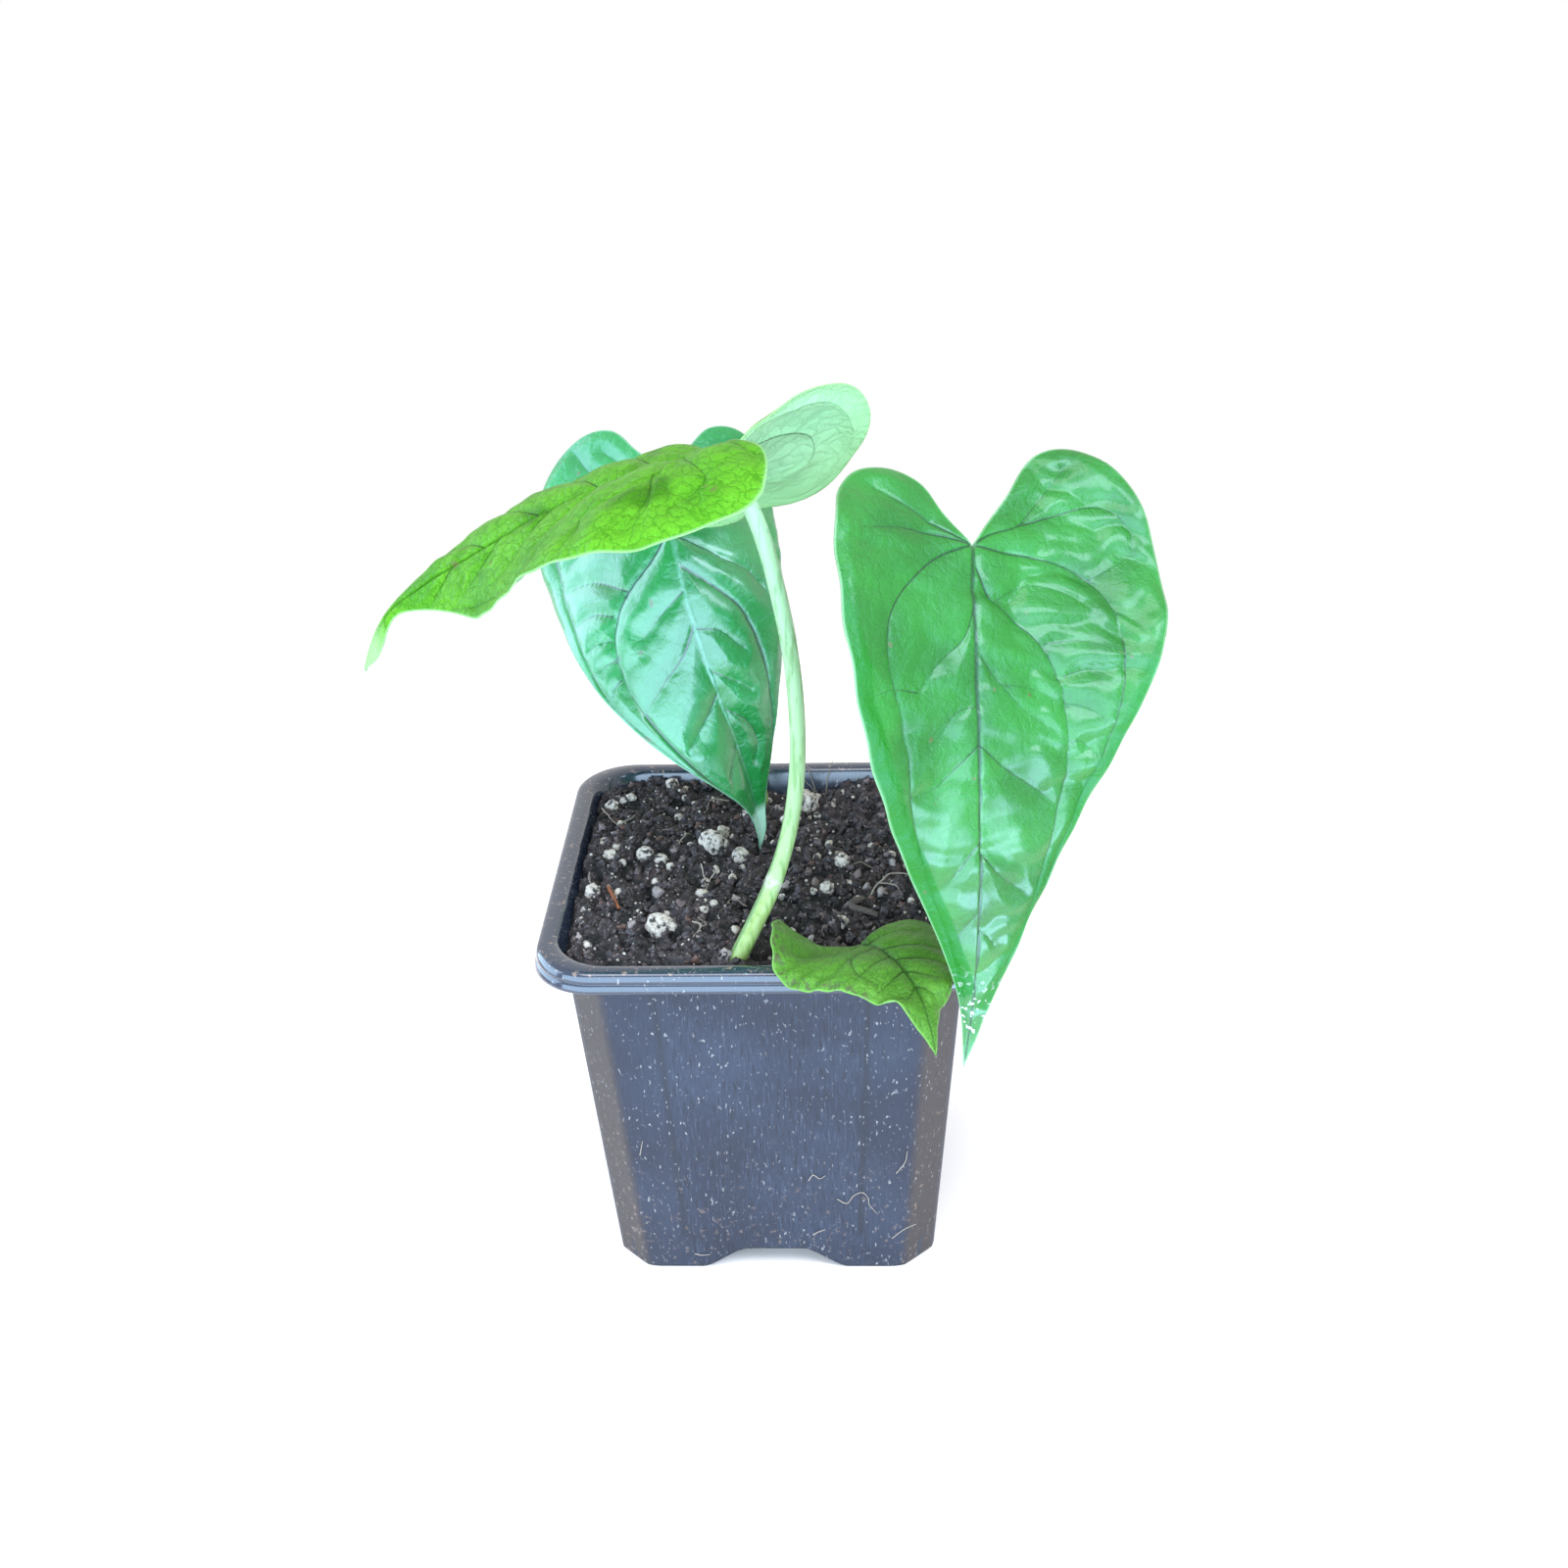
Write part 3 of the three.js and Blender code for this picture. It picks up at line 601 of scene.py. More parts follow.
def soilMaterial(values):
    # Moist peat: brown crumbs and pale fibrous grains with a rough, damp skin. The shade mask paints light
    # on the crumbs' tops and nearly black shade in the hollows between them.
    material, tree, shader = newMaterial("peatPottingMix")
    spot = objectSpot(tree)
    shade = masksOf(tree, ["shade"])["shade"]
    grain = noise(tree, spot, values["grainSize"], 5.0, 0.7)
    clump = noise(tree, spot, values["clumpSize"], 3.0)
    # Painted light and shade: high is large on lit crumb tops and nil in the shaded hollows, so brown, bark
    # and pale grains show only on the tops
    high = ranged(tree, shade, 0.2, 0.55)
    base = mixColours(tree, high, values["darkest"], values["dark"])
    base = layered(tree, base, [
        (times(tree, ranged(tree, grain, 0.5, 0.64, 0.0, 0.8), high), values["brown"]),
        (times(tree, ranged(tree, clump, 0.6, 0.72, 0.0, 0.5), high), values["bark"]),
        (times(tree, ranged(tree, grain, 0.6, 0.68), high), values["pale"]),
    ])
    rough = ranged(tree, grain, 0.3, 0.7, 0.55, 0.85)
    normal = bumped(tree, grain, 0.8, 0.3)
    dress(tree, shader, {"Base Color": base, "Roughness": rough, "Normal": normal}, {})
    return material


def buildSoil(values):
    # A square grid pressed out to the pot's rounded square, then a skirt and a closed bottom
    half = pot["openingHalf"] - values["gap"]
    corner = pot["topCorner"] - values["cornerGap"]
    steps = values["steps"]
    u, v = np.meshgrid(np.linspace(-1, 1, steps + 1), np.linspace(-1, 1, steps + 1))
    reach = np.maximum(abs(u), abs(v))
    low = np.minimum(abs(u), abs(v)) / np.maximum(reach, 1e-9)
    # Along each direction, how far the rounded square's edge is against the plain square's
    flat = (half - corner) / half
    angle = np.arctan(low)
    cosine, sine = np.cos(angle), np.sin(angle)
    centre = (half - corner) * (cosine + sine)
    root = np.sqrt(np.maximum(centre**2 - 2 * (half - corner) ** 2 + corner**2, 0))
    rounded = np.where(low > flat, (centre + root) * cosine / half, 1.0)
    scale = 1 + (rounded - 1) * reach**6
    x, y = u * half * scale, v * half * scale
    height, shade = soilSurface(x, y, values)
    edge = upTo(reach - values["edgeFrom"], 1 - values["edgeFrom"])
    height = height - values["edgeDrop"] * edge
    top = np.stack([x, y, height], -1)
    size = steps + 1
    index = np.arange(size * size).reshape(size, size)
    corners = [index[:-1, :-1], index[:-1, 1:], index[1:, 1:], index[1:, :-1]]
    quads = np.stack(corners, -1).reshape(-1, 4)
    loop = np.concatenate([index[0, :-1], index[:-1, -1], index[-1, :0:-1], index[:0:-1, 0]])
    rim = top.reshape(-1, 3)[loop]
    points, faces, shades = [top.reshape(-1, 3)], [quads], [shade.ravel()]
    above, count = loop, len(loop)
    for n, (level, shrink) in enumerate(values["skirt"]):
        ring = np.stack([rim[:, 0] * shrink, rim[:, 1] * shrink, np.full(count, level)], -1)
        below = size * size + n * count + np.arange(count)
        faces.append(np.stack([np.roll(above, -1), above, below, np.roll(below, -1)], -1))
        points.append(ring)
        shades.append(np.full(count, values["skirtShade"]))
        above = below
    quads = np.vstack(faces)
    triangles = np.vstack([quads[:, [0, 1, 2]], quads[:, [0, 2, 3]]])
    points = np.vstack(points + [np.array([[0, 0, values["skirt"][-1][0]]])])
    fan = np.stack([np.roll(above, -1), above, np.full(count, len(points) - 1)], -1)
    shades = np.concatenate(shades + [np.array([values["skirtShade"]])])
    return points, np.vstack([triangles, fan]), shades


soilPoints, soilFaces, soilShades = buildSoil(soil)
soilSkin = soilMaterial(soil)
soilPiece = meshObject("pottingSoil", soilPoints, soilFaces, soilSkin, {"shade": soilShades})
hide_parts("soil")
print("soil made")


def icosphere(levels):
    # Each face of a regular icosahedron is split in four, levels times, and pushed out to a sphere
    g = (1 + 5**0.5) / 2
    points = np.array([[-1, g, 0], [1, g, 0], [-1, -g, 0], [1, -g, 0], [0, -1, g], [0, 1, g],
                       [0, -1, -g], [0, 1, -g], [g, 0, -1], [g, 0, 1], [-g, 0, -1], [-g, 0, 1]], float)
    faces = np.array([[0, 11, 5], [0, 5, 1], [0, 1, 7], [0, 7, 10], [0, 10, 11], [1, 5, 9], [5, 11, 4],
                      [11, 10, 2], [10, 7, 6], [7, 1, 8], [3, 9, 4], [3, 4, 2], [3, 2, 6], [3, 6, 8],
                      [3, 8, 9], [4, 9, 5], [2, 4, 11], [6, 2, 10], [8, 6, 7], [9, 8, 1]])
    for _ in range(levels):
        edges = np.sort(np.vstack([faces[:, [0, 1]], faces[:, [1, 2]], faces[:, [2, 0]]]), 1)
        pairs, where = np.unique(edges, axis=0, return_inverse=True)
        middle = len(points) + where.ravel().reshape(3, -1)
        points = np.vstack([points, points[pairs].mean(1)])
        a, b, c = faces.T
        ab, bc, ca = middle
        split = ((a, ab, ca), (b, bc, ab), (c, ca, bc), (ab, bc, ca))
        faces = np.vstack([np.stack(t, 1) for t in split])
    return unit(points), faces


def lumps(ball, centres, sizes, seed, rough, stretches):
    # Copies of a ball, each stretched and turned at random, its surface pushed in and out by noise
    points, faces = ball
    numbers = np.random.default_rng(seed)
    count = len(centres)
    stretch = numbers.uniform(*stretches, (count, 1, 3))
    turn, _ = np.linalg.qr(numbers.normal(size=(count, 3, 3)))
    offset = numbers.uniform(0, 50, (count, 1, 3))
    push = 1 + 2 * rough * noiseAt(points[None] + offset, 0.55, seed)
    push = push + rough * noiseAt(points[None] + offset, 0.27, seed + 3)
    shaped = points[None] * push[..., None] * stretch * (np.asarray(sizes)[:, None, None] / 2)
    shaped = np.einsum("nvi,nij->nvj", shaped, turn) + np.asarray(centres)[:, None]
    allFaces = faces[None] + (np.arange(count) * len(points))[:, None, None]
    # A turn that mirrors a lump would show its inside, so its faces are reversed
    mirrored = np.linalg.det(turn) < 0
    allFaces[mirrored] = allFaces[mirrored][:, :, ::-1]
    tones = np.repeat(numbers.uniform(0, 1, count), len(points))
    return shaped.reshape(-1, 3), allFaces.reshape(-1, 3), tones


def soilAt(x, y):
    # The fine surface's height at these places
    return soilSurface(np.asarray(x, float), np.asarray(y, float), soil)[0]


# Loose crumbs on top: many small and few large, in five tones of peat, bark and dry fibre
crumbs = {
    "count": 3300, "least": 0.4, "spread": 1.6, "fineBelow": 1.1, "sunk": 0.12, "stretch": (0.5, 1.2),
    "cornerStart": 29, "cornerRadius": 9, "grainSize": 0.5,
    "dark": "#0f0b0c", "light": "#54464a", "grey": "#8f7d7c", "bark": "#6e4a3c", "dry": "#c4b6b0",
    "fleck": "#a08e8d",
}


def looseMaterial(values):
    # Dry peat crumbs: each has one tone, broken up by paler fibres, on a rough skin
    material, tree, shader = newMaterial("peatCrumbs")
    tone = masksOf(tree, ["shade"])["shade"]
    grain = noise(tree, objectSpot(tree), values["grainSize"], 4.0)
    base = mixColours(tree, tone, values["dark"], values["light"])
    base = layered(tree, base, [
        (ranged(tree, tone, 0.8, 0.86), values["grey"]),
        (ranged(tree, tone, 0.9, 0.92), values["bark"]),
        (ranged(tree, tone, 0.95, 0.97), values["dry"]),
        (ranged(tree, grain, 0.52, 0.66, 0.0, 0.7), values["fleck"]),
    ])
    rough = ranged(tree, grain, 0.3, 0.7, 0.5, 0.85)
    normal = bumped(tree, grain, 0.7, 0.2)
    dress(tree, shader, {"Base Color": base, "Roughness": rough, "Normal": normal}, {})
    return material


def scatter(count, seed, half=38.5):
    # Places spread evenly over a square, and the generator for what else is drawn
    numbers = np.random.default_rng(seed)
    return numbers.uniform(-half, half, (2, count)), numbers


def buildCrumbs(values):
    # Width = least + spread times a random number to the power 2.2. Those past the round corners go.
    (x, y), numbers = scatter(values["count"], 11)
    widths = values["least"] + values["spread"] * numbers.uniform(0, 1, len(x)) ** 2.2
    start = values["cornerStart"]
    past = np.hypot(np.maximum(abs(x) - start, 0), np.maximum(abs(y) - start, 0))
    inside = past < values["cornerRadius"]
    x, y, widths = x[inside], y[inside], widths[inside]
    centres = np.stack([x, y, soilAt(x, y) + values["sunk"] * widths], -1)
    fine = widths < values["fineBelow"]
    return joined([
        lumps(icosphere(1), centres[~fine], widths[~fine], 12, 0.95, values["stretch"]),
        lumps(icosphere(0), centres[fine], widths[fine], 13, 0.6, values["stretch"]),
    ])


crumbPoints, crumbFaces, crumbTones = buildCrumbs(crumbs)
crumbSkin = looseMaterial(crumbs)
crumbPiece = meshObject("looseCrumbs", crumbPoints, crumbFaces, crumbSkin, {"shade": crumbTones})

# Perlite: expanded volcanic glass, chalk white, pitted and weightless, half sunk in the peat
perlite = {
    "spots": [    # x, y, width
        (-12.2, 8.2, 5.6), (-10.8, 14.3, 3), (-6.4, 2.7, 3.5), (6.6, 26.4, 5.2), (3.7, 18.7, 4),
        (-20.6, -24.8, 5.2), (-26.7, 5, 3.6), (-23.5, 36, 3.3), (-36, 27, 2.8), (-32.3, 29.9, 2.2),
        (-36, 10.3, 2.6), (-34, 4.6, 3), (-36, -10.9, 3.2), (-13.4, -12, 2.8), (12, -9.4, 2.8),
        (14.8, 0.6, 3.4), (15.1, -20.9, 2.8), (-22.9, 1.9, 2.8), (-20.6, 35.4, 1.6),
        (-36.4, -18.3, 2.1), (-9.5, -12.8, 2), (-11.4, -1.8, 2), (-7.7, -5, 1.8), (9.7, 3.3, 1.8),
        (14.8, 34, 1.6), (5.4, -24.8, 1.7), (-21, 22, 1.9), (-30.7, -10.5, 2), (-12.6, -18.1, 1.8),
        (-10.7, -16.2, 1.8), (2.8, -12.5, 1.5), (-20.2, 30.4, 1.5), (-27.8, 28.9, 1.5),
        (-37, -21.9, 1.8), (-5.9, 23.5, 1.6), (-8.6, 12.2, 1.5), (5.4, 24.4, 2.2), (4.6, 14.8, 1.9),
    ],
    "seeded": 80, "seededWidth": (0.9, 2.0), "specks": 420, "speckWidth": (0.25, 0.55),
    "sunk": 0.22, "speckSunk": 0.2, "lift": 0.25,    # centre over the ground = share of width + lift
    "rough": 0.2, "stretch": (0.85, 1.15), "pitSize": 1.3, "stainSize": 1.0,
    # hollow is grey for the shade and soil in the pits
    "white": "#fff2e2", "hollow": "#a59a90", "peat": "#30272a",
}


def perliteMaterial(values):
    # Perlite: chalky white that lets a little light in, pitted, with peat stains and grey patches that
    # paint the shade and soil in its hollows
    material, tree, shader = newMaterial("perliteExpandedGlass")
    spot = objectSpot(tree)
    scale = {"Scale": perMetre(values["pitSize"])}
    pits = addNode(tree, "TexVoronoi", {}, scale, {"Vector": spot}).outputs["Distance"]
    stain = noise(tree, spot, values["stainSize"], 4.0)
    # Painted shade and soil: grey patches placed by noise stand in for the shaded, soil-filled pits
    hollow = ranged(tree, stain, 0.46, 0.58, 0.0, 0.85)
    base = mixColours(tree, hollow, values["white"], values["hollow"])
    base = mixColours(tree, ranged(tree, stain, 0.58, 0.63, 0.0, 0.95), base, values["peat"])
    dress(tree, shader, {"Base Color": base, "Normal": bumped(tree, pits, 0.9, 0.4)}, {
        "Roughness": 0.85, "Subsurface Weight": 0.15, "Subsurface Radius": (0.6, 0.6, 0.6),
        "Subsurface Scale": 0.0006,
    })
    return material


def buildPerlite(values):
    # The large grains at their own places, then smaller ones that keep off the front right, where the
    # small leaf lies, and specks
    listed = np.array(values["spots"], float)
    (x, y), numbers = scatter(values["seeded"], 31, 36)
    seeded = np.stack([x, y, numbers.uniform(*values["seededWidth"], len(x))], -1)
    seeded = seeded[(seeded[:, 0] < 2) | (seeded[:, 1] > -14)]
    (x, y), numbers = scatter(values["specks"], 32, 38)
    least, spread = values["speckWidth"]
    specks = np.stack([x, y, least + spread * numbers.uniform(0, 1, len(x)) ** 2], -1)
    parts = []
    for group, levels, seed in ((listed, 3, 41), (seeded, 2, 42), (specks, 0, 43)):
        x, y, width = group.T
        ground = soilBase(x, y, soil) if levels else soilAt(x, y)
        sunk = values["sunk"] if levels else values["speckSunk"]
        centres = np.stack([x, y, ground + sunk * width + values["lift"]], -1)
        parts.append(lumps(icosphere(levels), centres, width, seed, values["rough"], values["stretch"]))
    return joined(parts)


perlitePoints, perliteFaces, perliteTones = buildPerlite(perlite)
perliteSkin = perliteMaterial(perlite)
perliteMasks = {"shade": perliteTones}
perlitePiece = meshObject("perliteGrains", perlitePoints, perliteFaces, perliteSkin, perliteMasks)
print("crumbs and perlite made")

# Plant litter in the mix: thin rootlets, a needle and a bark stick. x, y, rise over the soil.
litter = {
    "rootlets": [    # radius, tone, path
        (0.16, 0.85, [(-38.3, 26.3, 0.8), (-37, 22.5, 1.6), (-34.2, 18.8, 0.6)]),
        (0.13, 0.8, [(-34.2, 18.8, 0.6), (-31, 20, 1.4), (-30.2, 24, 1)]),
        (0.15, 0.6, [(-10.3, 28.1, 1.5), (-14, 26.5, 2), (-15.2, 22, 1), (-15.8, 17.9, 0.4)]),
        (0.14, 0.95, [(-14.2, -2.6, 2.6), (-13.2, -6, 1.6), (-12.8, -9.7, 0.8)]),
        (0.13, 0.95, [(-10.6, -4, 2.8), (-12, -7, 1.6), (-12.8, -9.7, 0.8)]),
        (0.16, 0.8, [(-14.4, -24.4, 1.6), (-12.5, -26.5, 1.8), (-15, -30, 0.8), (-18, -33.5, 0.4)]),
        (0.13, 0.8, [(-12.5, -26.5, 1.8), (-11.8, -24.5, 1.2), (-13.5, -22.4, 1.6)]),
        (0.17, 0.5, [(8.4, 37.2, 0), (7.6, 37.6, 4), (6.6, 37.8, 8)]),
        (0.15, 0.55, [(10.7, 37.2, 0), (11.3, 37.8, 4), (12.4, 38, 7.5)]),
        (0.13, 0.5, [(8.4, 37.2, 0), (7, 37, 3), (4.4, 37.4, 6.5)]),
        (0.2, 0.7, [(20.5, -12.5, 1), (22.5, -9, 2.2), (25.5, -6.5, 2.5), (29, -6, 1.5)]),
        (0.14, 0.7, [(22.5, -9, 2.2), (26, -10, 1.8), (27.5, -13.5, 0.8)]),
        (0.12, 0.45, [(-25, 15, 0.8), (-21.5, 15.5, 1.5), (-19.5, 18.5, 0.8)]),
        (0.2, 0.5, [(-20, 9, 1.2), (-18.5, 12, 1.6), (-17.5, 13.5, 0.6)]),
        (0.1, 0.5, [(-4, -17, 1.4), (-7, -15, 1.8), (-9.5, -19, 0.6)]),
        (0.16, 0.7, [(-37.5, -3, 1), (-37, -7, 1.6), (-35.5, -9.5, 0.6)]),
        (0.1, 0.5, [(22, -2, 0.8), (19, 0, 1.4), (16.5, -1, 0.6)]),
        (0.1, 0.4, [(-7.2, 31.2, 0.8), (-11, 31.8, 1.4), (-15, 30, 0.6)]),
    ],
    "twigs": [
        {"name": "pineNeedle", "radius": 0.42, "colour": "#b4622d", "grain": 0.6,
         "path": [(-32.9, -9.5, 1.7), (-31.4, -13.4, 1.6), (-29.7, -18.2, 1)]},
        {"name": "barkStick", "radius": 0.75, "colour": "#6f625b", "grain": 0.5,
         "path": [(19.5, -13.5, 1.5), (17.2, -15.6, 1.5), (17.6, -16.8, 1.3), (22.5, -18.2, 0.8)]},
    ],
    "wallFibres": [    # x, z on the front wall
        [(13.3, 19), (15.3, 17.8), (16.7, 19.9), (18.5, 20.8), (19.7, 19.3), (19.9, 17.5), (21.6, 14.8)],
        [(24.5, 8), (27, 10.5), (29.5, 12)], [(-17, 3.6), (-15.5, 3.2), (-13.8, 3.4)],
        [(8, 9), (9.2, 9.8), (10.6, 10.5)], [(25.5, 26), (27.3, 29), (27.8, 32)],
        [(-26.7, 31), (-26.3, 33), (-25.9, 34.8)],
        [(7.5, 24), (8.5, 25.6), (9.8, 24.6), (11, 25.4)],
    ],
    "white": "#ddd0bd", "brown": "#6e5546", "shadow": "#3c322d", "rootGrain": 0.8,
    "rootSteps": 26, "wallSteps": 24, "twigSteps": 30, "rootSides": 6, "twigSides": 10,
    "wander": 0.5, "wanderCell": 1.7, "offWall": 0.12, "wallRadii": (0.12, 0.07), "wallTone": 0.75,
}


def fibreMaterial(name, low, high, grainSize):
    # Dry plant fibre: a dull skin streaked from a dark tone to a pale one
    material, tree, shader = newMaterial(name)
    tone = masksOf(tree, ["shade"])["shade"]
    grain = noise(tree, objectSpot(tree), grainSize, 4.0)
    base = mixColours(tree, tone, low, high)
    base = mixColours(tree, ranged(tree, grain, 0.45, 0.75, 0.0, 0.5), base, low)
    links = {"Base Color": base, "Normal": bumped(tree, grain, 0.6, 0.2)}
    dress(tree, shader, links, {"Roughness": 0.7})
    return material


def overSoil(path, count):
    # A smooth path whose heights are counted from the rolling ground
    spots = smoothThrough(path, count)
    spots[:, 2] += soilBase(spots[:, 0], spots[:, 1], soil)
    return spots


def wallY(z):
    # Where the front wall's outer face lies at a height
    share = z / pot["lipFoot"]
    return -(pot["baseHalf"] + (pot["wallTopHalf"] - pot["baseHalf"]) * share)


def buildLitter(values):
    # Rootlets wander off their paths and thin out to half their radius, wall fibres lie on the wall
    fibres = []
    steps, sides, cell = values["rootSteps"], values["rootSides"], values["wanderCell"]
    for radius, tone, route in values["rootlets"]:
        path = overSoil(route, steps)
        wiggle = np.stack([noiseAt(path + k, cell, 60 + k) for k in range(3)], -1)
        path = path + values["wander"] * wiggle * np.sin(np.linspace(0, np.pi, steps))[:, None]
        points, faces = tube(path, np.linspace(1.15, 0.55, steps) * radius, sides)
        fibres.append((points, faces, tone))
    for route in values["wallFibres"]:
        x, z = smoothThrough(route, values["wallSteps"]).T
        path = np.stack([x, wallY(z) - values["offWall"], z], -1)
        points, faces = tube(path, np.linspace(*values["wallRadii"], values["wallSteps"]), sides)
        fibres.append((points, faces, values["wallTone"]))
    return joined(fibres)


def buildTwig(twig, values):
    # Three low ridges wind round it: radius times 1 + 0.16 sin(3 angle + 4 share), thinner at its ends
    steps, sides = values["twigSteps"], values["twigSides"]
    path = overSoil(twig["path"], steps)
    angle = np.linspace(0, 2 * np.pi, sides, endpoint=False)
    ridges = 1 + 0.16 * np.sin(3 * angle[None] + 4 * np.linspace(0, 1, steps)[:, None])
    taper = 0.75 + 0.25 * np.sin(np.linspace(0.15, np.pi - 0.1, steps))
    points, faces = tube(path, twig["radius"] * taper[:, None] * ridges, sides)
    material = fibreMaterial(twig["name"], values["shadow"], twig["colour"], twig["grain"])
    return meshObject(twig["name"] + "Piece", points, faces, material, {"shade": np.full(len(points), 0.9)})


fibrePoints, fibreFaces, fibreTones = buildLitter(litter)
rootSkin = fibreMaterial("driedRootlet", litter["brown"], litter["white"], litter["rootGrain"])
fibrePiece = meshObject("rootlets", fibrePoints, fibreFaces, rootSkin, {"shade": fibreTones})
for twig in litter["twigs"]:
    buildTwig(twig, litter)
print("litter made")


# Leaves. Each half of a blade is a flat outline, in shares of the midrib's length, that is folded
# from the face by an angle, curled out to its margin, and carried along the midrib's curve.
leafShape = {
    "outline": [
        (0, 0), (-0.078, 0.065), (-0.15, 0.125), (-0.165, 0.21), (-0.11, 0.295), (0.03, 0.345), (0.2, 0.33),
        (0.38, 0.265), (0.55, 0.18), (0.72, 0.095), (0.86, 0.035), (0.95, 0.012), (1, 0),
    ],
    "narrowed": {9: 0.5, 10: 1.0}, "dripPoint": 11, "lobeBack": 2,    # counted in the outline's points
    "soft": 0.035, "softVein": 0.6, "spread": 0.92,
    "halfWidth": 0.35, "lobeReach": 0.17, "droopStart": 0.84, "rowSlant": 0.45,
    "rimWidth": 0.4, "thinEdge": 2.0, "areoleReach": 4.0,
}


def throughThree(values, u):
    # The parabola through three values, at the base, the middle and the tip
    base, middle, tip = values
    return base * (1 - u) * (1 - 2 * u) + 4 * middle * u * (1 - u) + tip * u * (2 * u - 1)


def edgeAt(half, dripTip, places):
    # A half's outline, at places counted in its points: shares along the midrib and out from it
    points = np.array(leafShape["outline"], float)
    points[leafShape["dripPoint"], 1] *= dripTip
    for k, share in leafShape["narrowed"].items():
        points[k, 1] *= 1 - share * (1 - half["taper"])
    points[points[:, 0] < 0, 0] *= half["lobe"]
    points[:, 1] *= half["width"]
    curve = smoothAt(points, places)
    return curve[:, 0], np.maximum(curve[:, 1], 0)


def midribCurve(leaf):
    # The four points that lead the midrib's curve, and a table of the length along it, so that places
    # on it are shares of its length
    p = np.array(leaf["midrib"], float)
    t = np.linspace(0, 1, 401)
    spots = cubicCurve(p, t)
    length = np.concatenate([[0], np.cumsum(np.linalg.norm(np.diff(spots, axis=0), axis=1))])
    return p, t, length


def cubicCurve(p, t):
    # The four points weighed by (1 - t)^3, 3 t (1 - t)^2, 3 t^2 (1 - t) and t^3
    t = np.asarray(t)[..., None]
    return p[0] * (1 - t) ** 3 + 3 * p[1] * t * (1 - t) ** 2 + 3 * p[2] * t**2 * (1 - t) + p[3] * t**3


def cubicSlope(p, t):
    # The same curve's rate of change
    t = np.asarray(t)[..., None]
    first, middle, last = p[1] - p[0], p[2] - p[1], p[3] - p[2]
    return 3 * (first * (1 - t) ** 2 + 2 * middle * t * (1 - t) + last * t**2)


def bladePoints(leaf, half, sign, along, out):
    # Where the flat places (along, out) of one half lie in space
    p, table, lengths = midribCurve(leaf)
    length = lengths[-1]
    # Places behind the base keep its direction; the change is eased over a soft share
    behind = (np.hypot(along, leafShape["soft"]) - along) / 2
    u = np.clip(along + behind, 0, 1)
    t = np.interp(u * length, lengths, table)
    ahead = unit(cubicSlope(p, t))
    face = np.array(leaf["faceAtBase"]) * (1 - u)[..., None] + np.array(leaf["faceAtTip"]) * u[..., None]
    up = unit(face - np.sum(face * ahead, -1, keepdims=True) * ahead)
    side = np.cross(up, ahead) * sign
    drooping = upTo(u - leafShape["droopStart"], 1 - leafShape["droopStart"])
    spot = cubicCurve(p, t) + np.array(leaf["droop"]) * (drooping**2)[..., None]
    back = -behind * length
    spot = spot + ahead * back[..., None] + up * (half["lift"] * back**2 / length)[..., None]
    # Each row is an arc: it leaves the rib at the fold's slope and turns evenly by the curl
    lobe = np.clip(behind / leafShape["lobeReach"], 0, 1.2)
    slope = np.radians(throughThree(half["fold"], u) + half["lobeFold"] * lobe)
    bend = np.radians(throughThree(half["curl"], u)) / (leafShape["halfWidth"] * length) + 1e-5
    end = slope + bend * out * length
    spot = spot + side * ((np.sin(end) - np.sin(slope)) / bend)[..., None]
    return spot + up * ((np.cos(slope) - np.cos(end)) / bend)[..., None]


def lineDistance(spots, line):
    # How far each flat spot is from a line of points, at what share of the line it is nearest, and on
    # which side of the line it lies (1 or -1), worked out in batches to save memory
    a, b = line[:-1], line[1:]
    step = b - a
    size = np.maximum(np.sum(step**2, 1), 1e-12)
    nearest, place, side = (np.empty(len(spots)) for _ in range(3))
    batch = 4000
    for low in range(0, len(spots), batch):
        these = slice(low, low + batch)
        part = spots[these, None]
        share = np.clip(np.sum((part - a) * step, 2) / size, 0, 1)
        off = np.linalg.norm(part - a - share[..., None] * step, axis=2)
        index = off.argmin(1)
        away = part[:, 0] - a[index]
        nearest[these] = off.min(1)
        place[these] = index / len(step)
        side[these] = np.sign(step[index, 0] * away[:, 1] - step[index, 1] * away[:, 0])
    return nearest, place, side


def veinLines(flat, veins, length, wide):
    # For each spot: the distance to the nearest vein, how deep its groove is there, and for the thin
    # line drawn on it the same distance with a sign for its side, so that it passes through nought
    far = 99.0
    nearest, near, offset = (np.full(len(flat), far) for _ in range(3))
    mark, drawn = np.zeros(len(flat)), np.zeros(len(flat))
    for weight, path in veins:
        line = smoothThrough(path, 12 * (len(path) - 1) + 1) * length
        distance, place, side = lineDistance(flat, line)
        strength = weight * (1 - 0.55 * place)
        reach = wide * (0.3 + 0.2 * strength)
        nearest = np.minimum(nearest, distance + 1.2 * (1 - weight))
        mark = np.maximum(mark, strength * np.exp(-((distance / reach) ** 2)))
        closer = distance < near
        near = np.where(closer, distance, near)
        offset = np.where(closer, distance * side, offset)
        drawn = np.where(closer, weight * (1 - 0.8 * place), drawn)
    return nearest, mark, near, offset, drawn


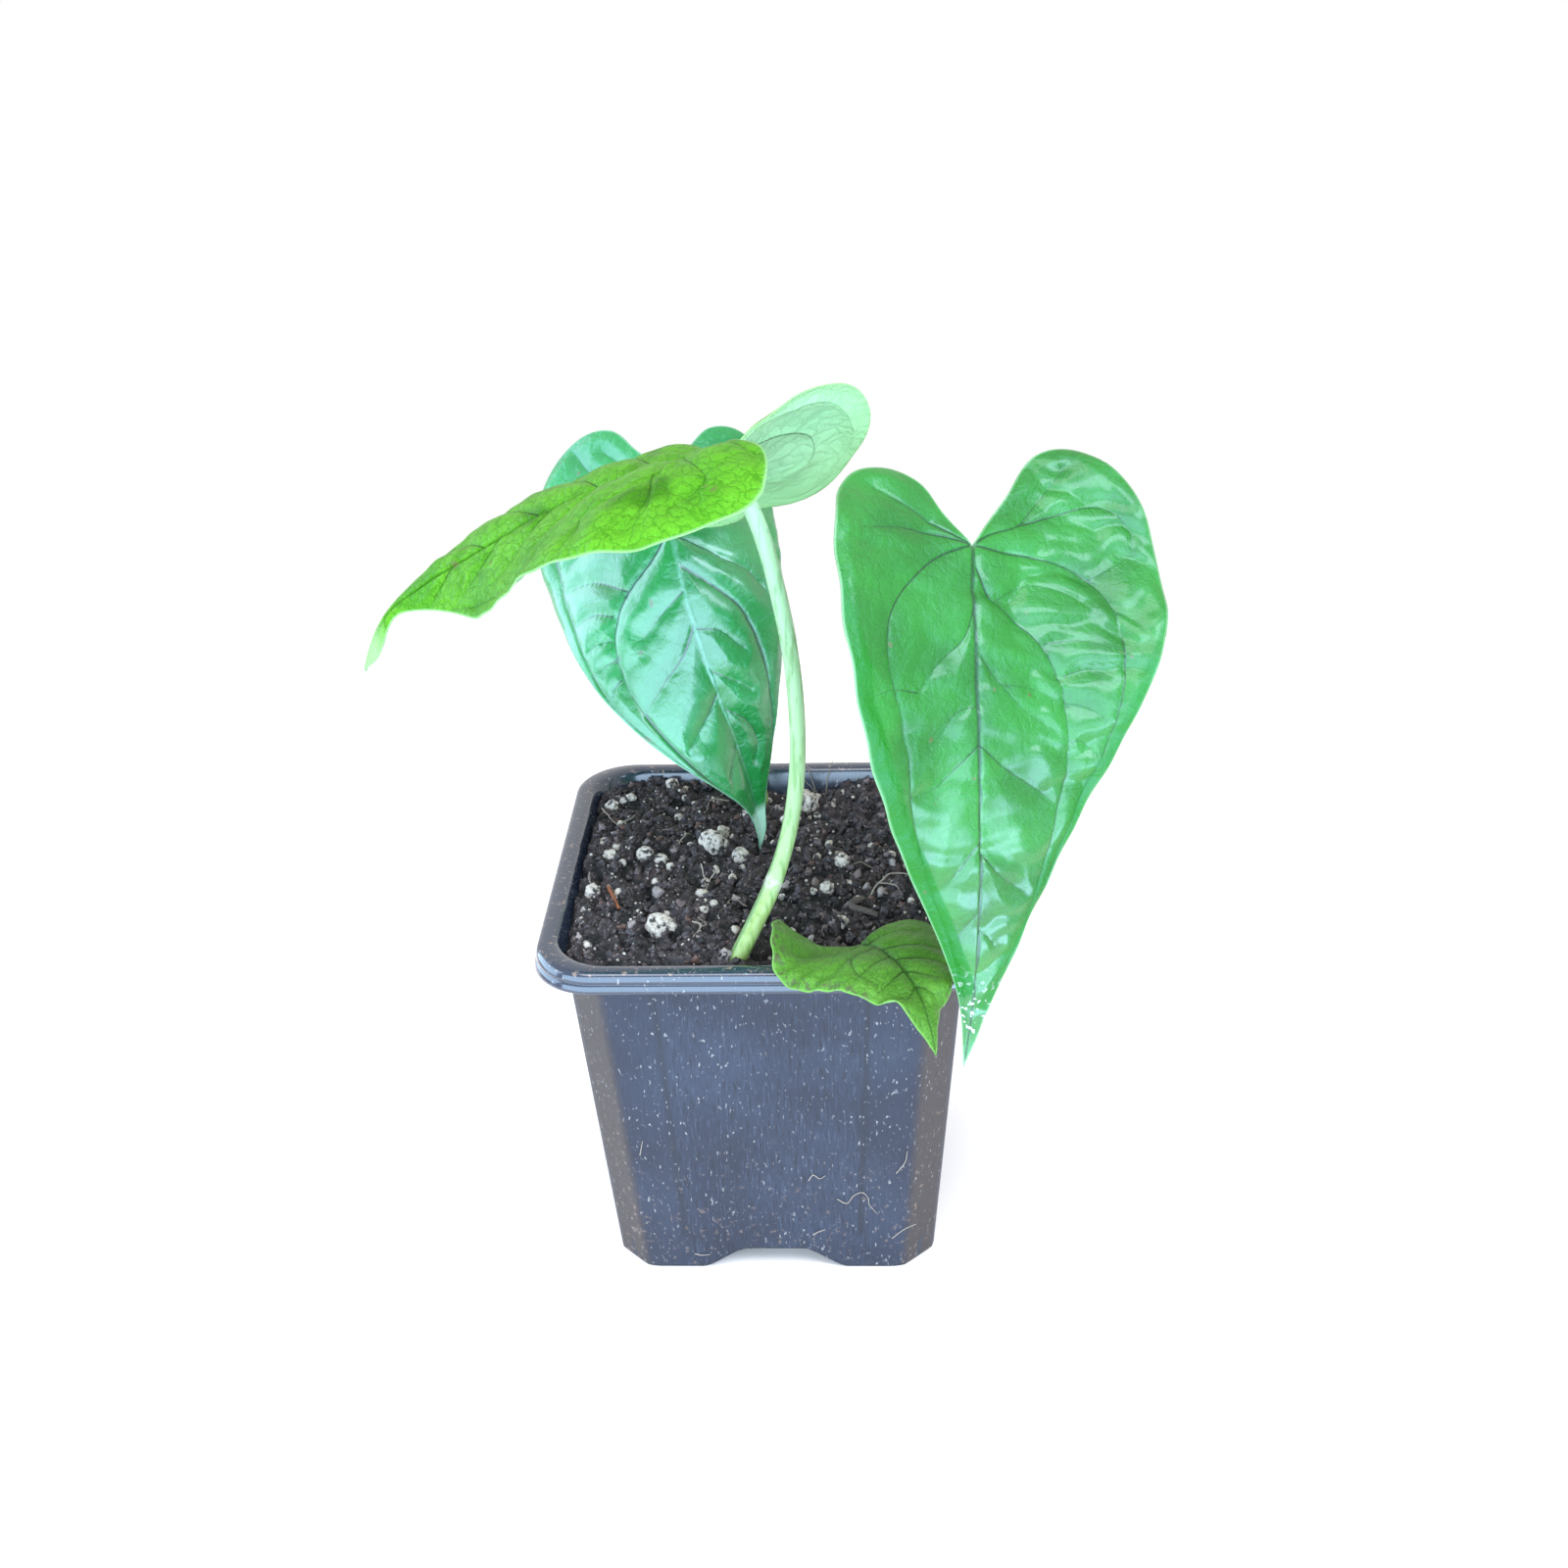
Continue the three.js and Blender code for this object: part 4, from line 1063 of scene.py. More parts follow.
def bladeGrid(leaf, half, roots, places):
    # Flat places of one half. Rows run from the midrib to the margin, and the first rows bow out to
    # follow the sinus to the back of the lobe.
    share = np.linspace(0, 1, leaf["columns"]) ** leafShape["spread"]
    back = leafShape["lobeBack"]
    marginAlong, marginOut = edgeAt(half, leaf["dripTip"], places)
    sinusAlong, sinusOut = edgeAt(half, leaf["dripTip"], back * share)
    bow = np.maximum(1 - (places - back), 0)[:, None] ** 2
    straight = roots[:, None] + (marginAlong - roots)[:, None] * share
    along = straight + bow * (sinusAlong - marginAlong[0] * share)
    out = marginOut[:, None] * share + bow * (sinusOut - marginOut[0] * share)
    return along, np.maximum(out, 0), marginOut


def quilted(x, y, seed, soft=7.0):
    # Domes with soft creases: log(sum of exp(soft * bowl)) / soft, the smooth maximum of upturned
    # bowls, one at a random place and height in each cell
    i, j = np.floor(x).astype(np.int64), np.floor(y).astype(np.int64)
    total = 0
    for di in (-1, 0, 1):
        for dj in (-1, 0, 1):
            here = np.stack([i + di, j + dj], -1)
            cx = i + di + hashed(here, seed)
            cy = j + dj + hashed(here, seed + 1)
            bowl = 0.3 * hashed(here, seed + 2) - (x - cx) ** 2 - (y - cy) ** 2
            total = total + np.exp(soft * bowl)
    return np.log(total) / soft


def leafRelief(leaf, half, flat, measures):
    # Height over the middle surface: tissue swells between the veins and is quilted into domes, the
    # veins are pressed in, slow waves run along the margin, and a rolled strip drops at its edge.
    distance, mark, rib, toMargin, width, wave, stripShare = measures
    free = upTo(toMargin, 2.5) * upTo(width, 6)
    soft = leafShape["softVein"]
    swell = 1 - np.exp((soft - np.hypot(distance, soft)) / leaf["pillowReach"])
    domeOut, domeAlong = leaf["domes"]
    bent = flat + leaf["domeBend"] * np.stack([noiseAt(flat, 6, 91), noiseAt(flat, 6, 92)], -1)
    domes = quilted(bent[:, 0] / domeOut, bent[:, 1] / domeAlong, leaf["seed"] + 5)
    ripple, seed = leaf["ripple"], leaf["seed"]
    relief = (leaf["pillow"] * swell + half["quilt"] * domes) * free
    relief = relief - leaf["veinDepth"] * mark * upTo(width, 5) + leaf["ribRise"] * rib
    relief = relief + ripple * noiseAt(flat, 8.5, seed) * upTo(width, 10)
    relief = relief + 0.4 * ripple * noiseAt(flat, 2.8, seed + 1) * swell * free
    relief = relief + leaf["waveHeight"] * wave * upTo(width, 14)
    rolled = np.clip(1 - toMargin / (half["stripWidth"] + 0.1), 0, 1) ** 1.3
    return relief - half["strip"] * leaf["stripDrop"] * rolled * stripShare * upTo(width, 10)


def halfBlade(leaf, half, sign, roots, places):
    # One half's points in space, its flat places in millimetres, and the masks at its points
    rows, columns = leaf["rows"], leaf["columns"]
    length = midribCurve(leaf)[2][-1]
    along, out, marginOut = bladeGrid(leaf, half, roots, places)
    spots = bladePoints(leaf, half, sign, along, out).reshape(-1, 3)
    flat = np.stack([along, out], -1).reshape(-1, 2) * length
    grid = flat.reshape(rows, columns, 2)
    toMargin = lineDistance(flat, np.concatenate([grid[0], grid[1:, -1]]))[0]
    distance, mark, near, offset, drawn = veinLines(flat, half["veins"], length, leaf["veinWidth"])
    share = flat[:, 0] / length
    fromRib = flat[:, 1] + 9 * np.clip(-flat[:, 0], 0, 1)
    ribReach = 0.2 + 0.22 * (1 - np.clip(share, 0, 1))
    rib = np.exp(-((fromRib / ribReach) ** 2))
    distance = np.minimum(distance, fromRib)
    width = np.repeat(marginOut * length, columns)
    edge = np.clip(1 - toMargin / np.maximum(width, 1e-6), 0, 1)
    wave = np.sin(share * leaf["waves"] * 2 * np.pi + half["phase"]) * edge**4
    placed = np.stack([sign * flat[:, 1], flat[:, 0]], -1)
    stripShare = np.clip(share / 0.2 - 0.2, 0, 1)
    relief = leafRelief(leaf, half, placed, (distance, mark, rib, toMargin, width, wave, stripShare))
    # Painted shade: the rolled strip gets its own plain, saturated green, the look of a margin turned from
    # the light that catches no sheen
    strip = upTo(half["stripWidth"] * stripShare - toMargin, 0.9) * half["strip"] * (width > 3)
    return spots, placed, {
        "near": near, "offset": offset, "drawn": drawn, "fromRib": fromRib, "edge": edge, "strip": strip,
        "toMargin": toMargin, "relief": relief, "areole": upTo(distance, leafShape["areoleReach"]),
        "along": share,
    }


def bladeFaces(index, roots):
    # Both halves share the base, the tip and the midrib's line of points
    base, tip = index["left"][0, 0], index["left"][-1, 0]
    index["right"][:, 0] = index["left"][:, 0]
    parts = []
    for key in index:
        index[key][roots <= 0, 0] = base
        index[key][-1] = tip
        a, b = index[key][:-1, :-1].ravel(), index[key][:-1, 1:].ravel()
        c, d = index[key][1:, 1:].ravel(), index[key][1:, :-1].ravel()
        pair = np.vstack([np.stack([a, b, c], 1), np.stack([a, c, d], 1)])
        parts.append(pair if key == "left" else pair[:, ::-1])
    faces = np.vstack(parts)
    real = (faces[:, 0] != faces[:, 1]) & (faces[:, 1] != faces[:, 2]) & (faces[:, 2] != faces[:, 0])
    right = np.concatenate([index["right"][0, :-1], index["right"][:, -1]])
    left = np.concatenate([index["left"][0, 1:-1], index["left"][:-1, -1]])
    return faces[real], np.concatenate([right, left[::-1]])


def pointNormals(points, faces):
    # The sum of the normals of the faces round each point
    corners = points[faces]
    facing = np.cross(corners[:, 1] - corners[:, 0], corners[:, 2] - corners[:, 0])
    normals = np.zeros_like(points)
    for k in range(3):
        np.add.at(normals, faces[:, k], facing)
    return unit(normals)


def buildLeaf(leaf):
    # The two halves share a midrib. The skin above and the one below lie half a thickness off the
    # middle surface, thinner near the margin, and a wall of triangles closes them all round.
    rows, columns = leaf["rows"], leaf["columns"]
    places = np.linspace(leafShape["lobeBack"], len(leafShape["outline"]) - 1, rows)
    margins = [edgeAt(leaf[key], leaf["dripTip"], places) for key in ("left", "right")]
    roots = np.clip(sum(along - leafShape["rowSlant"] * out for along, out in margins) / 2, 0, 1)
    halves = [halfBlade(leaf, leaf[key], sign, roots, places) for key, sign in (("left", -1), ("right", 1))]
    points, flats = (np.vstack([half[k] for half in halves]) for k in (0, 1))
    grid = np.arange(rows * columns).reshape(rows, columns)
    faces, margin = bladeFaces({"left": grid, "right": grid + rows * columns}, roots)
    used, inverse = np.unique(faces, return_inverse=True)
    faces = inverse.reshape(-1, 3)
    margin = np.searchsorted(used, margin)
    points, flats = points[used], flats[used]
    masks = {key: np.concatenate([half[2][key] for half in halves])[used] for key in halves[0][2]}
    toMargin, relief = masks.pop("toMargin"), masks.pop("relief")
    thick = leaf["thickness"] * (0.45 + 0.55 * upTo(toMargin, leafShape["thinEdge"]))
    normals = pointNormals(points, faces)
    above = points + normals * (relief + thick / 2)[:, None]
    below = points + normals * (relief - thick / 2)[:, None]
    size = len(points)
    after = np.roll(margin, -1)
    first = np.stack([margin, after, after + size], 1)
    second = np.stack([margin, after + size, margin + size], 1)
    skin = np.vstack([faces, faces[:, ::-1] + size, first, second])
    masks["rim"] = np.clip(1 - toMargin / leafShape["rimWidth"], 0, 1)
    masks = {key: np.tile(numbers, 2) for key, numbers in masks.items()}
    masks["under"] = np.repeat([0.0, 1.0], size)
    return np.vstack([above, below]), skin, masks, np.vstack([flats, flats])


leafMasks = ("near", "offset", "drawn", "fromRib", "edge", "strip", "areole", "rim", "under", "along")


def veinMasks(tree, leaf, mask):
    # 1 on a line and 0 off it, from the distance over the line's half width. A vein is as wide as its
    # strength, and the midrib narrows towards the tip.
    off = calculated(tree, "ABSOLUTE", mask["offset"], 0.0)
    reach = ranged(tree, mask["drawn"], 0.0, 1.0, 0.05 * leaf["lineWidth"], 0.24 * leaf["lineWidth"])
    line = ranged(tree, calculated(tree, "DIVIDE", off, reach), 0.5, 1.5, 1.0, 0.0)
    line = times(tree, line, ranged(tree, mask["near"], 0.7, 1.1, 1.0, 0.0))
    line = times(tree, line, ranged(tree, mask["drawn"], 0.1, 0.6, 0.15, 1.0))
    ribReach = ranged(tree, mask["along"], 0.0, 1.0, 0.62, 0.22)
    return line, ranged(tree, calculated(tree, "DIVIDE", mask["fromRib"], ribReach), 0.35, 1.0, 1.0, 0.0)


def leafPatterns(tree, leaf, mask):
    # What colour and bump share: a net of cells and a fine grain on the flat blade, whose map is in
    # millimetres, and clouds, freckles and dust in space
    spot = objectSpot(tree)
    flat = addNode(tree, "UVMap", {"uv_map": "flat"}).outputs[0]
    warp = addNode(tree, "TexNoise", {}, {"Scale": 0.5, "Detail": 3.0}, {"Vector": flat}).outputs["Color"]
    reach = {1: (3.2, 3.2, 0)}
    moved = addNode(tree, "VectorMath", {"operation": "MULTIPLY_ADD"}, reach, {0: warp, 2: flat}).outputs[0]
    edges, scale = {"feature": "DISTANCE_TO_EDGE"}, {"Scale": 1 / leaf["netSize"]}
    net = addNode(tree, "TexVoronoi", edges, scale, {"Vector": moved}).outputs["Distance"]
    grain = {"Scale": 2.2, "Detail": 5.0, "Roughness": 0.65}
    line, rib = veinMasks(tree, leaf, mask)
    return {
        "net": net, "netLine": ranged(tree, net, 0.0, 0.07, 1.0, 0.0), "line": line, "rib": rib,
        "fine": addNode(tree, "TexNoise", {}, grain, {"Vector": flat}).outputs["Fac"],
        "cloud": noise(tree, spot, 15, 4.0),
        "freckle": noise(tree, spot, 4.2, 1.0),
        "dust": noise(tree, spot, 1.1, 1.0),
    }


def upperColour(tree, leaf, mask, pattern):
    # Mottled green, a faint net and drawn veins, then a few brown freckles about a millimetre wide,
    # whitish dust towards the tip, soil at the edge and a pale drip tip
    colours, along = leaf["colours"], mask["along"]
    cloud, fine, dust = (pattern[key] for key in ("cloud", "fine", "dust"))
    nearTip = ranged(tree, along, 0.79, 0.9, 0.0, leaf["tipDust"])
    onEdge = ranged(tree, mask["edge"], 0.84, 0.97, 0.0, leaf["soiled"])
    base = mixColours(tree, ranged(tree, cloud, 0.38, 0.62), colours["deep"], colours["light"])
    return layered(tree, base, [
        (ranged(tree, fine, 0.5, 0.68, 0.0, 0.6), colours["light"]),
        (ranged(tree, fine, 0.5, 0.34, 0.0, leaf["mottle"]), colours["net"]),
        (times(tree, mask["areole"], 0.3), colours["light"]),
        (ranged(tree, cloud, 0.55, 0.68, 0.0, leaf["patches"]), colours["net"]),
        (times(tree, pattern["netLine"], leaf["netShow"]), colours["net"]),
        (times(tree, pattern["line"], leaf["veinShow"]), colours["vein"]),
        (times(tree, pattern["rib"], leaf["ribShow"]), colours["rib"]),
        # Painted shade on the rolled strip at the margin
        (mask["strip"], colours["strip"]),
        (ranged(tree, pattern["freckle"], 0.755, 0.775, 0.0, 0.6), leaf["freckle"]),
        (times(tree, ranged(tree, dust, 0.6, 0.65), nearTip), leaf["dust"]),
        (times(tree, ranged(tree, dust, 0.52, 0.58), onEdge), leaf["soilStain"]),
        (ranged(tree, along, *leaf["tipRange"], 0.0, leaf["tipPale"]), colourOf(colours["tip"], 0.8)),
    ])


def underColour(tree, leaf, mask, pattern):
    # The underside is paler and duller, with faint veins and a lighter rim
    colours = leaf["colours"]
    pale = [colourOf(colours[key], leaf["underDepth"]) for key in ("underDeep", "under")]
    base = mixColours(tree, ranged(tree, pattern["cloud"], 0.35, 0.65), *pale)
    return layered(tree, base, [
        (times(tree, pattern["netLine"], 0.2), colours["underNet"]),
        (times(tree, pattern["line"], 0.9), colours["underNet"]),
        (ranged(tree, mask["edge"], 0.75, 1.0, 0.0, 0.6), colours["rim"]),
    ])


def leafNormal(tree, leaf, pattern):
    # Veins pressed in, then low cushions in the cells of the net, then a fine grain
    line, fine, net = pattern["line"], pattern["fine"], pattern["net"]
    pressed = {"Strength": 0.5, "Distance": 0.0002}
    groove = addNode(tree, "Bump", {"invert": True}, pressed, {"Height": line}).outputs[0]
    eased, limits = {"interpolation_type": "SMOOTHSTEP"}, {"From Min": -0.05, "From Max": 0.3}
    cells = addNode(tree, "MapRange", eased, limits, {"Value": net}).outputs[0]
    return bumped(tree, fine, leaf["grainBump"], 0.2, bumped(tree, cells, leaf["netBump"], 0.4, groove))


def leafMaterial(leaf):
    # Waxy leaf skin: green tissue under a clear smooth cuticle. The eye gets it from crisp bluish
    # highlights broken up by quilting, thin sunken veins, and a paler, duller underside.
    material, tree, shader = newMaterial(leaf["name"] + "WaxyLeaf")
    mask = masksOf(tree, leafMasks)
    pattern = leafPatterns(tree, leaf, mask)
    base = layered(tree, upperColour(tree, leaf, mask, pattern), [
        (mask["under"], underColour(tree, leaf, mask, pattern)),
        (times(tree, mask["rim"], 0.85), leaf["colours"]["rim"]),
    ])
    shine = ranged(tree, pattern["fine"], 0.3, 0.7, leaf["gloss"], leaf["gloss"] + 0.12)
    rough = addNode(tree, "Mix", {"data_type": "FLOAT"}, {3: 0.62}, {0: mask["under"], 2: shine}).outputs[0]
    # The coat of wax thickens along the blade, and it is missing under it and on the rolled strip
    above = ranged(tree, mask["under"], 0.0, 1.0, 1.0, 0.0)
    offStrip = ranged(tree, mask["strip"], 0.0, 0.4, 1.0, 0.0)
    wax = ranged(tree, mask["along"], *leaf["waxRange"], leaf["coat"], leaf["coatTip"])
    wax = times(tree, times(tree, wax, offStrip), above)
    normal = leafNormal(tree, leaf, pattern)
    dress(tree, shader, {"Base Color": base, "Roughness": rough, "Coat Weight": wax, "Normal": normal}, {
        "IOR": 1.45, "Specular IOR Level": leaf["shine"],
        "Specular Tint": colourOf(leaf["colours"]["glare"], 1.0), "Coat Roughness": leaf["coatRough"],
        "Subsurface Weight": 0.1, "Subsurface Radius": (0.4, 1.0, 0.2), "Subsurface Scale": 0.0008,
    })
    return material


plainHalf = {"taper": 1.0, "phase": 0.0, "strip": 0.0, "stripWidth": 3.0, "quilt": 0.5}
commonLeaf = {
    "droop": (0, 0, 0), "dripTip": 1.0, "rows": 230, "columns": 74, "thickness": 0.5,
    "pillow": 0.8, "pillowReach": 3.2, "veinDepth": 0.22, "ribRise": -0.25, "ripple": 0.5, "waves": 9,
    "waveHeight": 0.3, "stripDrop": 1.2, "domes": (7.0, 5.0), "domeBend": 3.0,
    "netSize": 2.8, "netShow": 0.14, "veinShow": 0.75, "ribShow": 0.75, "netBump": 0.35, "grainBump": 0.3,
    "veinWidth": 1.0, "lineWidth": 1.0, "mottle": 0.35, "patches": 0.0,
    "gloss": 0.28, "shine": 0.5, "coat": 0.0, "coatTip": 0.0, "coatRough": 0.16, "waxRange": (0.3, 0.8),
    "tipDust": 0.0, "tipPale": 0.0, "tipRange": (0.95, 0.99), "soiled": 0.0, "underDepth": 0.6,
    "freckle": "#7d7448", "dust": "#f2f7ee", "soilStain": "#5a4a44",
}

leafRight = {
    **commonLeaf,
    "name": "leafRight", "node": "leaf_right", "slot": "leaf_right", "seed": 101, "tipDust": 1.0,
    "domes": (11.0, 4.6), "domeBend": 4.0, "gloss": 0.26, "coat": 0.4, "coatTip": 1.0,
    "grainBump": 0.7, "netBump": 0.25, "veinShow": 0.8, "lineWidth": 0.85, "stripDrop": 0.4,
    "midrib": [(40, -24, 158), (40, -53, 130.5), (43.5, -51, 96.5), (38, -57.5, 67.5)],
    "faceAtBase": (0.47, -0.88, -0.03), "faceAtTip": (-0.06, -0.61, 0.79),
    "left": {
        **plainHalf, "width": 0.88, "lobe": 0.71, "lift": 0.07, "lobeFold": -11,
        "fold": (-7, 5, -26), "curl": (9, 33, -6),
        "strip": 0.85, "stripWidth": 4.0, "phase": 1.0, "quilt": 0.8,
        "veins": [
            (0.8, [(0, 0), (-0.02, 0.06), (-0.045, 0.13), (-0.07, 0.21)]),
            (0.8, [(0, 0), (-0.005, 0.07), (0, 0.15), (0.02, 0.24)]),
            (0.9, [(0, 0), (0.035, 0.07), (0.085, 0.13), (0.15, 0.185), (0.22, 0.195), (0.3, 0.17),
                   (0.38, 0.15)]),
            (0.5, [(0.38, 0.15), (0.45, 0.145), (0.55, 0.12), (0.66, 0.085), (0.76, 0.05),
                   (0.86, 0.02)]),
            (0.6, [(0.12, 0), (0.18, 0.025), (0.225, 0.08), (0.275, 0.125)]),
            (0.5, [(0.275, 0.125), (0.27, 0.18), (0.28, 0.23)]),
            (0.6, [(0.37, 0), (0.41, 0.05), (0.44, 0.09), (0.45, 0.14)]),
            (0.6, [(0.55, 0), (0.6, 0.045), (0.64, 0.085)]),
            (0.4, [(0.3, 0), (0.31, 0.045), (0.35, 0.08), (0.37, 0.12)]),
            (0.4, [(0.68, 0), (0.72, 0.03), (0.76, 0.045)]),
        ],
    },
    "right": {
        **plainHalf, "width": 1.14, "lobe": 1.39, "lift": -0.43, "lobeFold": 10,
        "fold": (3, -22, -17),
        "curl": (21, 25, -43), "strip": 0.35, "stripWidth": 3.0, "phase": 2.0, "quilt": 1.5,
        "veins": [
            (0.8, [(0, 0), (-0.03, 0.04), (-0.06, 0.1), (-0.11, 0.14), (-0.19, 0.2)]),
            (0.7, [(-0.06, 0.1), (-0.09, 0.17), (-0.12, 0.26), (-0.09, 0.32), (-0.03, 0.34)]),
            (0.9, [(0, 0), (0, 0.07), (0, 0.14), (0.015, 0.22), (0.07, 0.28), (0.16, 0.305)]),
            (0.6, [(0.16, 0.305), (0.25, 0.305), (0.36, 0.28), (0.45, 0.24), (0.55, 0.19),
                   (0.68, 0.13), (0.8, 0.07)]),
            (0.8, [(0.03, 0), (0.09, 0.035), (0.13, 0.085), (0.18, 0.14), (0.26, 0.18), (0.35, 0.19),
                   (0.44, 0.19)]),
            (0.5, [(0.44, 0.19), (0.5, 0.17), (0.58, 0.15), (0.66, 0.12), (0.74, 0.09), (0.85, 0.03)]),
            (0.5, [(0.2, 0), (0.26, 0.05), (0.31, 0.1), (0.36, 0.17)]),
            (0.6, [(0.37, 0), (0.42, 0.06), (0.47, 0.13), (0.5, 0.165)]),
            (0.6, [(0.57, 0), (0.62, 0.04), (0.67, 0.11)]),
            (0.45, [(0.18, 0.14), (0.17, 0.22), (0.19, 0.3)]),
            (0.45, [(0.25, 0.175), (0.23, 0.24), (0.26, 0.3)]),
            (0.45, [(0.3, 0.185), (0.31, 0.23), (0.35, 0.28)]),
            (0.45, [(0.38, 0.19), (0.38, 0.22), (0.42, 0.255)]),
            (0.45, [(0.03, 0.245), (0, 0.29), (-0.04, 0.34)]),
            (0.4, [(0.1, 0.295), (0.12, 0.33), (0.15, 0.36)]),
            (0.35, [(0.26, 0.05), (0.27, 0.12), (0.3, 0.185)]),
            (0.35, [(0.1, 0.05), (0.06, 0.12), (0.07, 0.2), (0.11, 0.26)]),
            (0.4, [(0.72, 0), (0.75, 0.03), (0.79, 0.055)]),
        ],
    },
    "colours": {
        "deep": "#17821a", "light": "#2fa32e", "vein": "#0a4020", "rib": "#0d4a20", "net": "#12701f",
        # strip paints the shade of the rolled margin
        "strip": "#17900a", "tip": "#9fd8b0", "glare": "#dcd6ff",
        "rim": "#a6dda0", "under": "#9fd69a", "underDeep": "#8ccb8a", "underNet": "#5d9a62",
    },
}

leafBack = {
    **commonLeaf,
    "name": "leafBack", "node": "leaf_back", "slot": "leaf_back", "seed": 202, "dripTip": 1.8,
    "pillow": 1.1, "veinShow": 0.85, "gloss": 0.32, "coat": 0.1, "coatTip": 1.0,
    "coatRough": 0.22, "waxRange": (0.0, 0.22), "ribRise": 0.2, "ripple": 0.15,
    "domes": (6.0, 4.0), "domeBend": 2.5, "tipPale": 1.0, "tipRange": (0.865, 0.89), "shine": 1.0,
    "grainBump": 0.35, "netBump": 0.22, "netSize": 2.3, "lineWidth": 1.1, "waveHeight": 0.1,
    "veinDepth": 0.35,
    "midrib": [(-19.5, 19.5, 158), (-15.5, -11.5, 132.5), (-2, 3, 104), (-2.5, 5.8, 78.7)],
    "faceAtBase": (-0.01, -0.97, 0.25), "faceAtTip": (0.5, -0.59, 0.63),
    "left": {
        **plainHalf, "width": 1.16, "lobe": 1.12, "lift": 0.24, "lobeFold": 0,
        "fold": (-32, -1, 56), "curl": (7, -42, 4),
        "quilt": 0.5,
        "veins": [
            (0.9, [(0.14, 0), (0.2, 0.055), (0.25, 0.12), (0.3, 0.165), (0.36, 0.19), (0.45, 0.19),
                   (0.53, 0.17)]),
            (0.8, [(0.53, 0.17), (0.62, 0.14), (0.73, 0.1), (0.85, 0.045), (0.94, 0.01)]),
            (0.8, [(0.37, 0), (0.43, 0.045), (0.47, 0.1), (0.52, 0.165)]),
            (0.6, [(0.29, 0), (0.32, 0.05), (0.37, 0.12)]),
            (0.7, [(0.54, 0), (0.58, 0.045), (0.63, 0.12)]),
            (0.7, [(0, 0), (0.03, 0.1), (0.08, 0.2), (0.14, 0.3)]),
            (0.7, [(0, 0), (-0.05, 0.1), (-0.12, 0.17)]),
            (0.7, [(0, 0), (-0.02, 0.12), (-0.08, 0.21), (-0.16, 0.26)]),
            (0.6, [(0.26, 0.13), (0.21, 0.23), (0.21, 0.33)]),
            (0.6, [(0.31, 0.17), (0.29, 0.24), (0.31, 0.3)]),
            (0.5, [(0.36, 0.19), (0.36, 0.24), (0.38, 0.28)]),
            (0.5, [(0.4, 0.19), (0.41, 0.23), (0.43, 0.27)]),
            (0.5, [(0.44, 0.19), (0.46, 0.22), (0.49, 0.24)]),
            (0.6, [(0.05, 0.36), (0.13, 0.34), (0.22, 0.325), (0.31, 0.3), (0.46, 0.25),
                   (0.58, 0.18), (0.68, 0.13), (0.8, 0.07)]),
            (0.4, [(0.68, 0), (0.72, 0.04), (0.77, 0.07)]),
        ],
    },
    "right": {
        **plainHalf, "width": 0.97, "lobe": 0.88, "lift": 0.05, "lobeFold": 11,
        "fold": (-33, 13, 7), "curl": (-36, -74, 6),
        "phase": 1.5, "strip": 0.3, "stripWidth": 3.5, "quilt": 0.45,
        "veins": [
            (0.6, [(0.16, 0), (0.2, 0.06), (0.24, 0.11), (0.28, 0.16), (0.34, 0.19)]),
            (0.9, [(0.23, 0), (0.29, 0.06), (0.37, 0.115), (0.48, 0.13), (0.59, 0.12), (0.72, 0.09),
                   (0.84, 0.04), (0.93, 0.01)]),
            (0.6, [(0.38, 0), (0.4, 0.05), (0.46, 0.09)]),
            (0.5, [(0.48, 0), (0.52, 0.04), (0.56, 0.075)]),
            (0.5, [(0.58, 0), (0.63, 0.04), (0.69, 0.05), (0.74, 0.03)]),
            (0.6, [(0, 0), (-0.04, 0.1), (-0.1, 0.18), (-0.14, 0.24)]),
            (0.6, [(0, 0), (0.03, 0.1), (0.08, 0.2), (0.15, 0.27), (0.25, 0.26)]),
        ],
    },
    "colours": {
        "deep": "#119c34", "light": "#22b44a", "vein": "#083f20", "rib": "#6cc894", "net": "#0f6a30",
        # strip paints the shade of the rolled margin
        "strip": "#1f9433", "tip": "#c4f0d2", "glare": "#d2e6ff",
        "rim": "#9ddcb0", "under": "#a9e2b4", "underDeep": "#93d3a2", "underNet": "#6cab7e",
    },
}

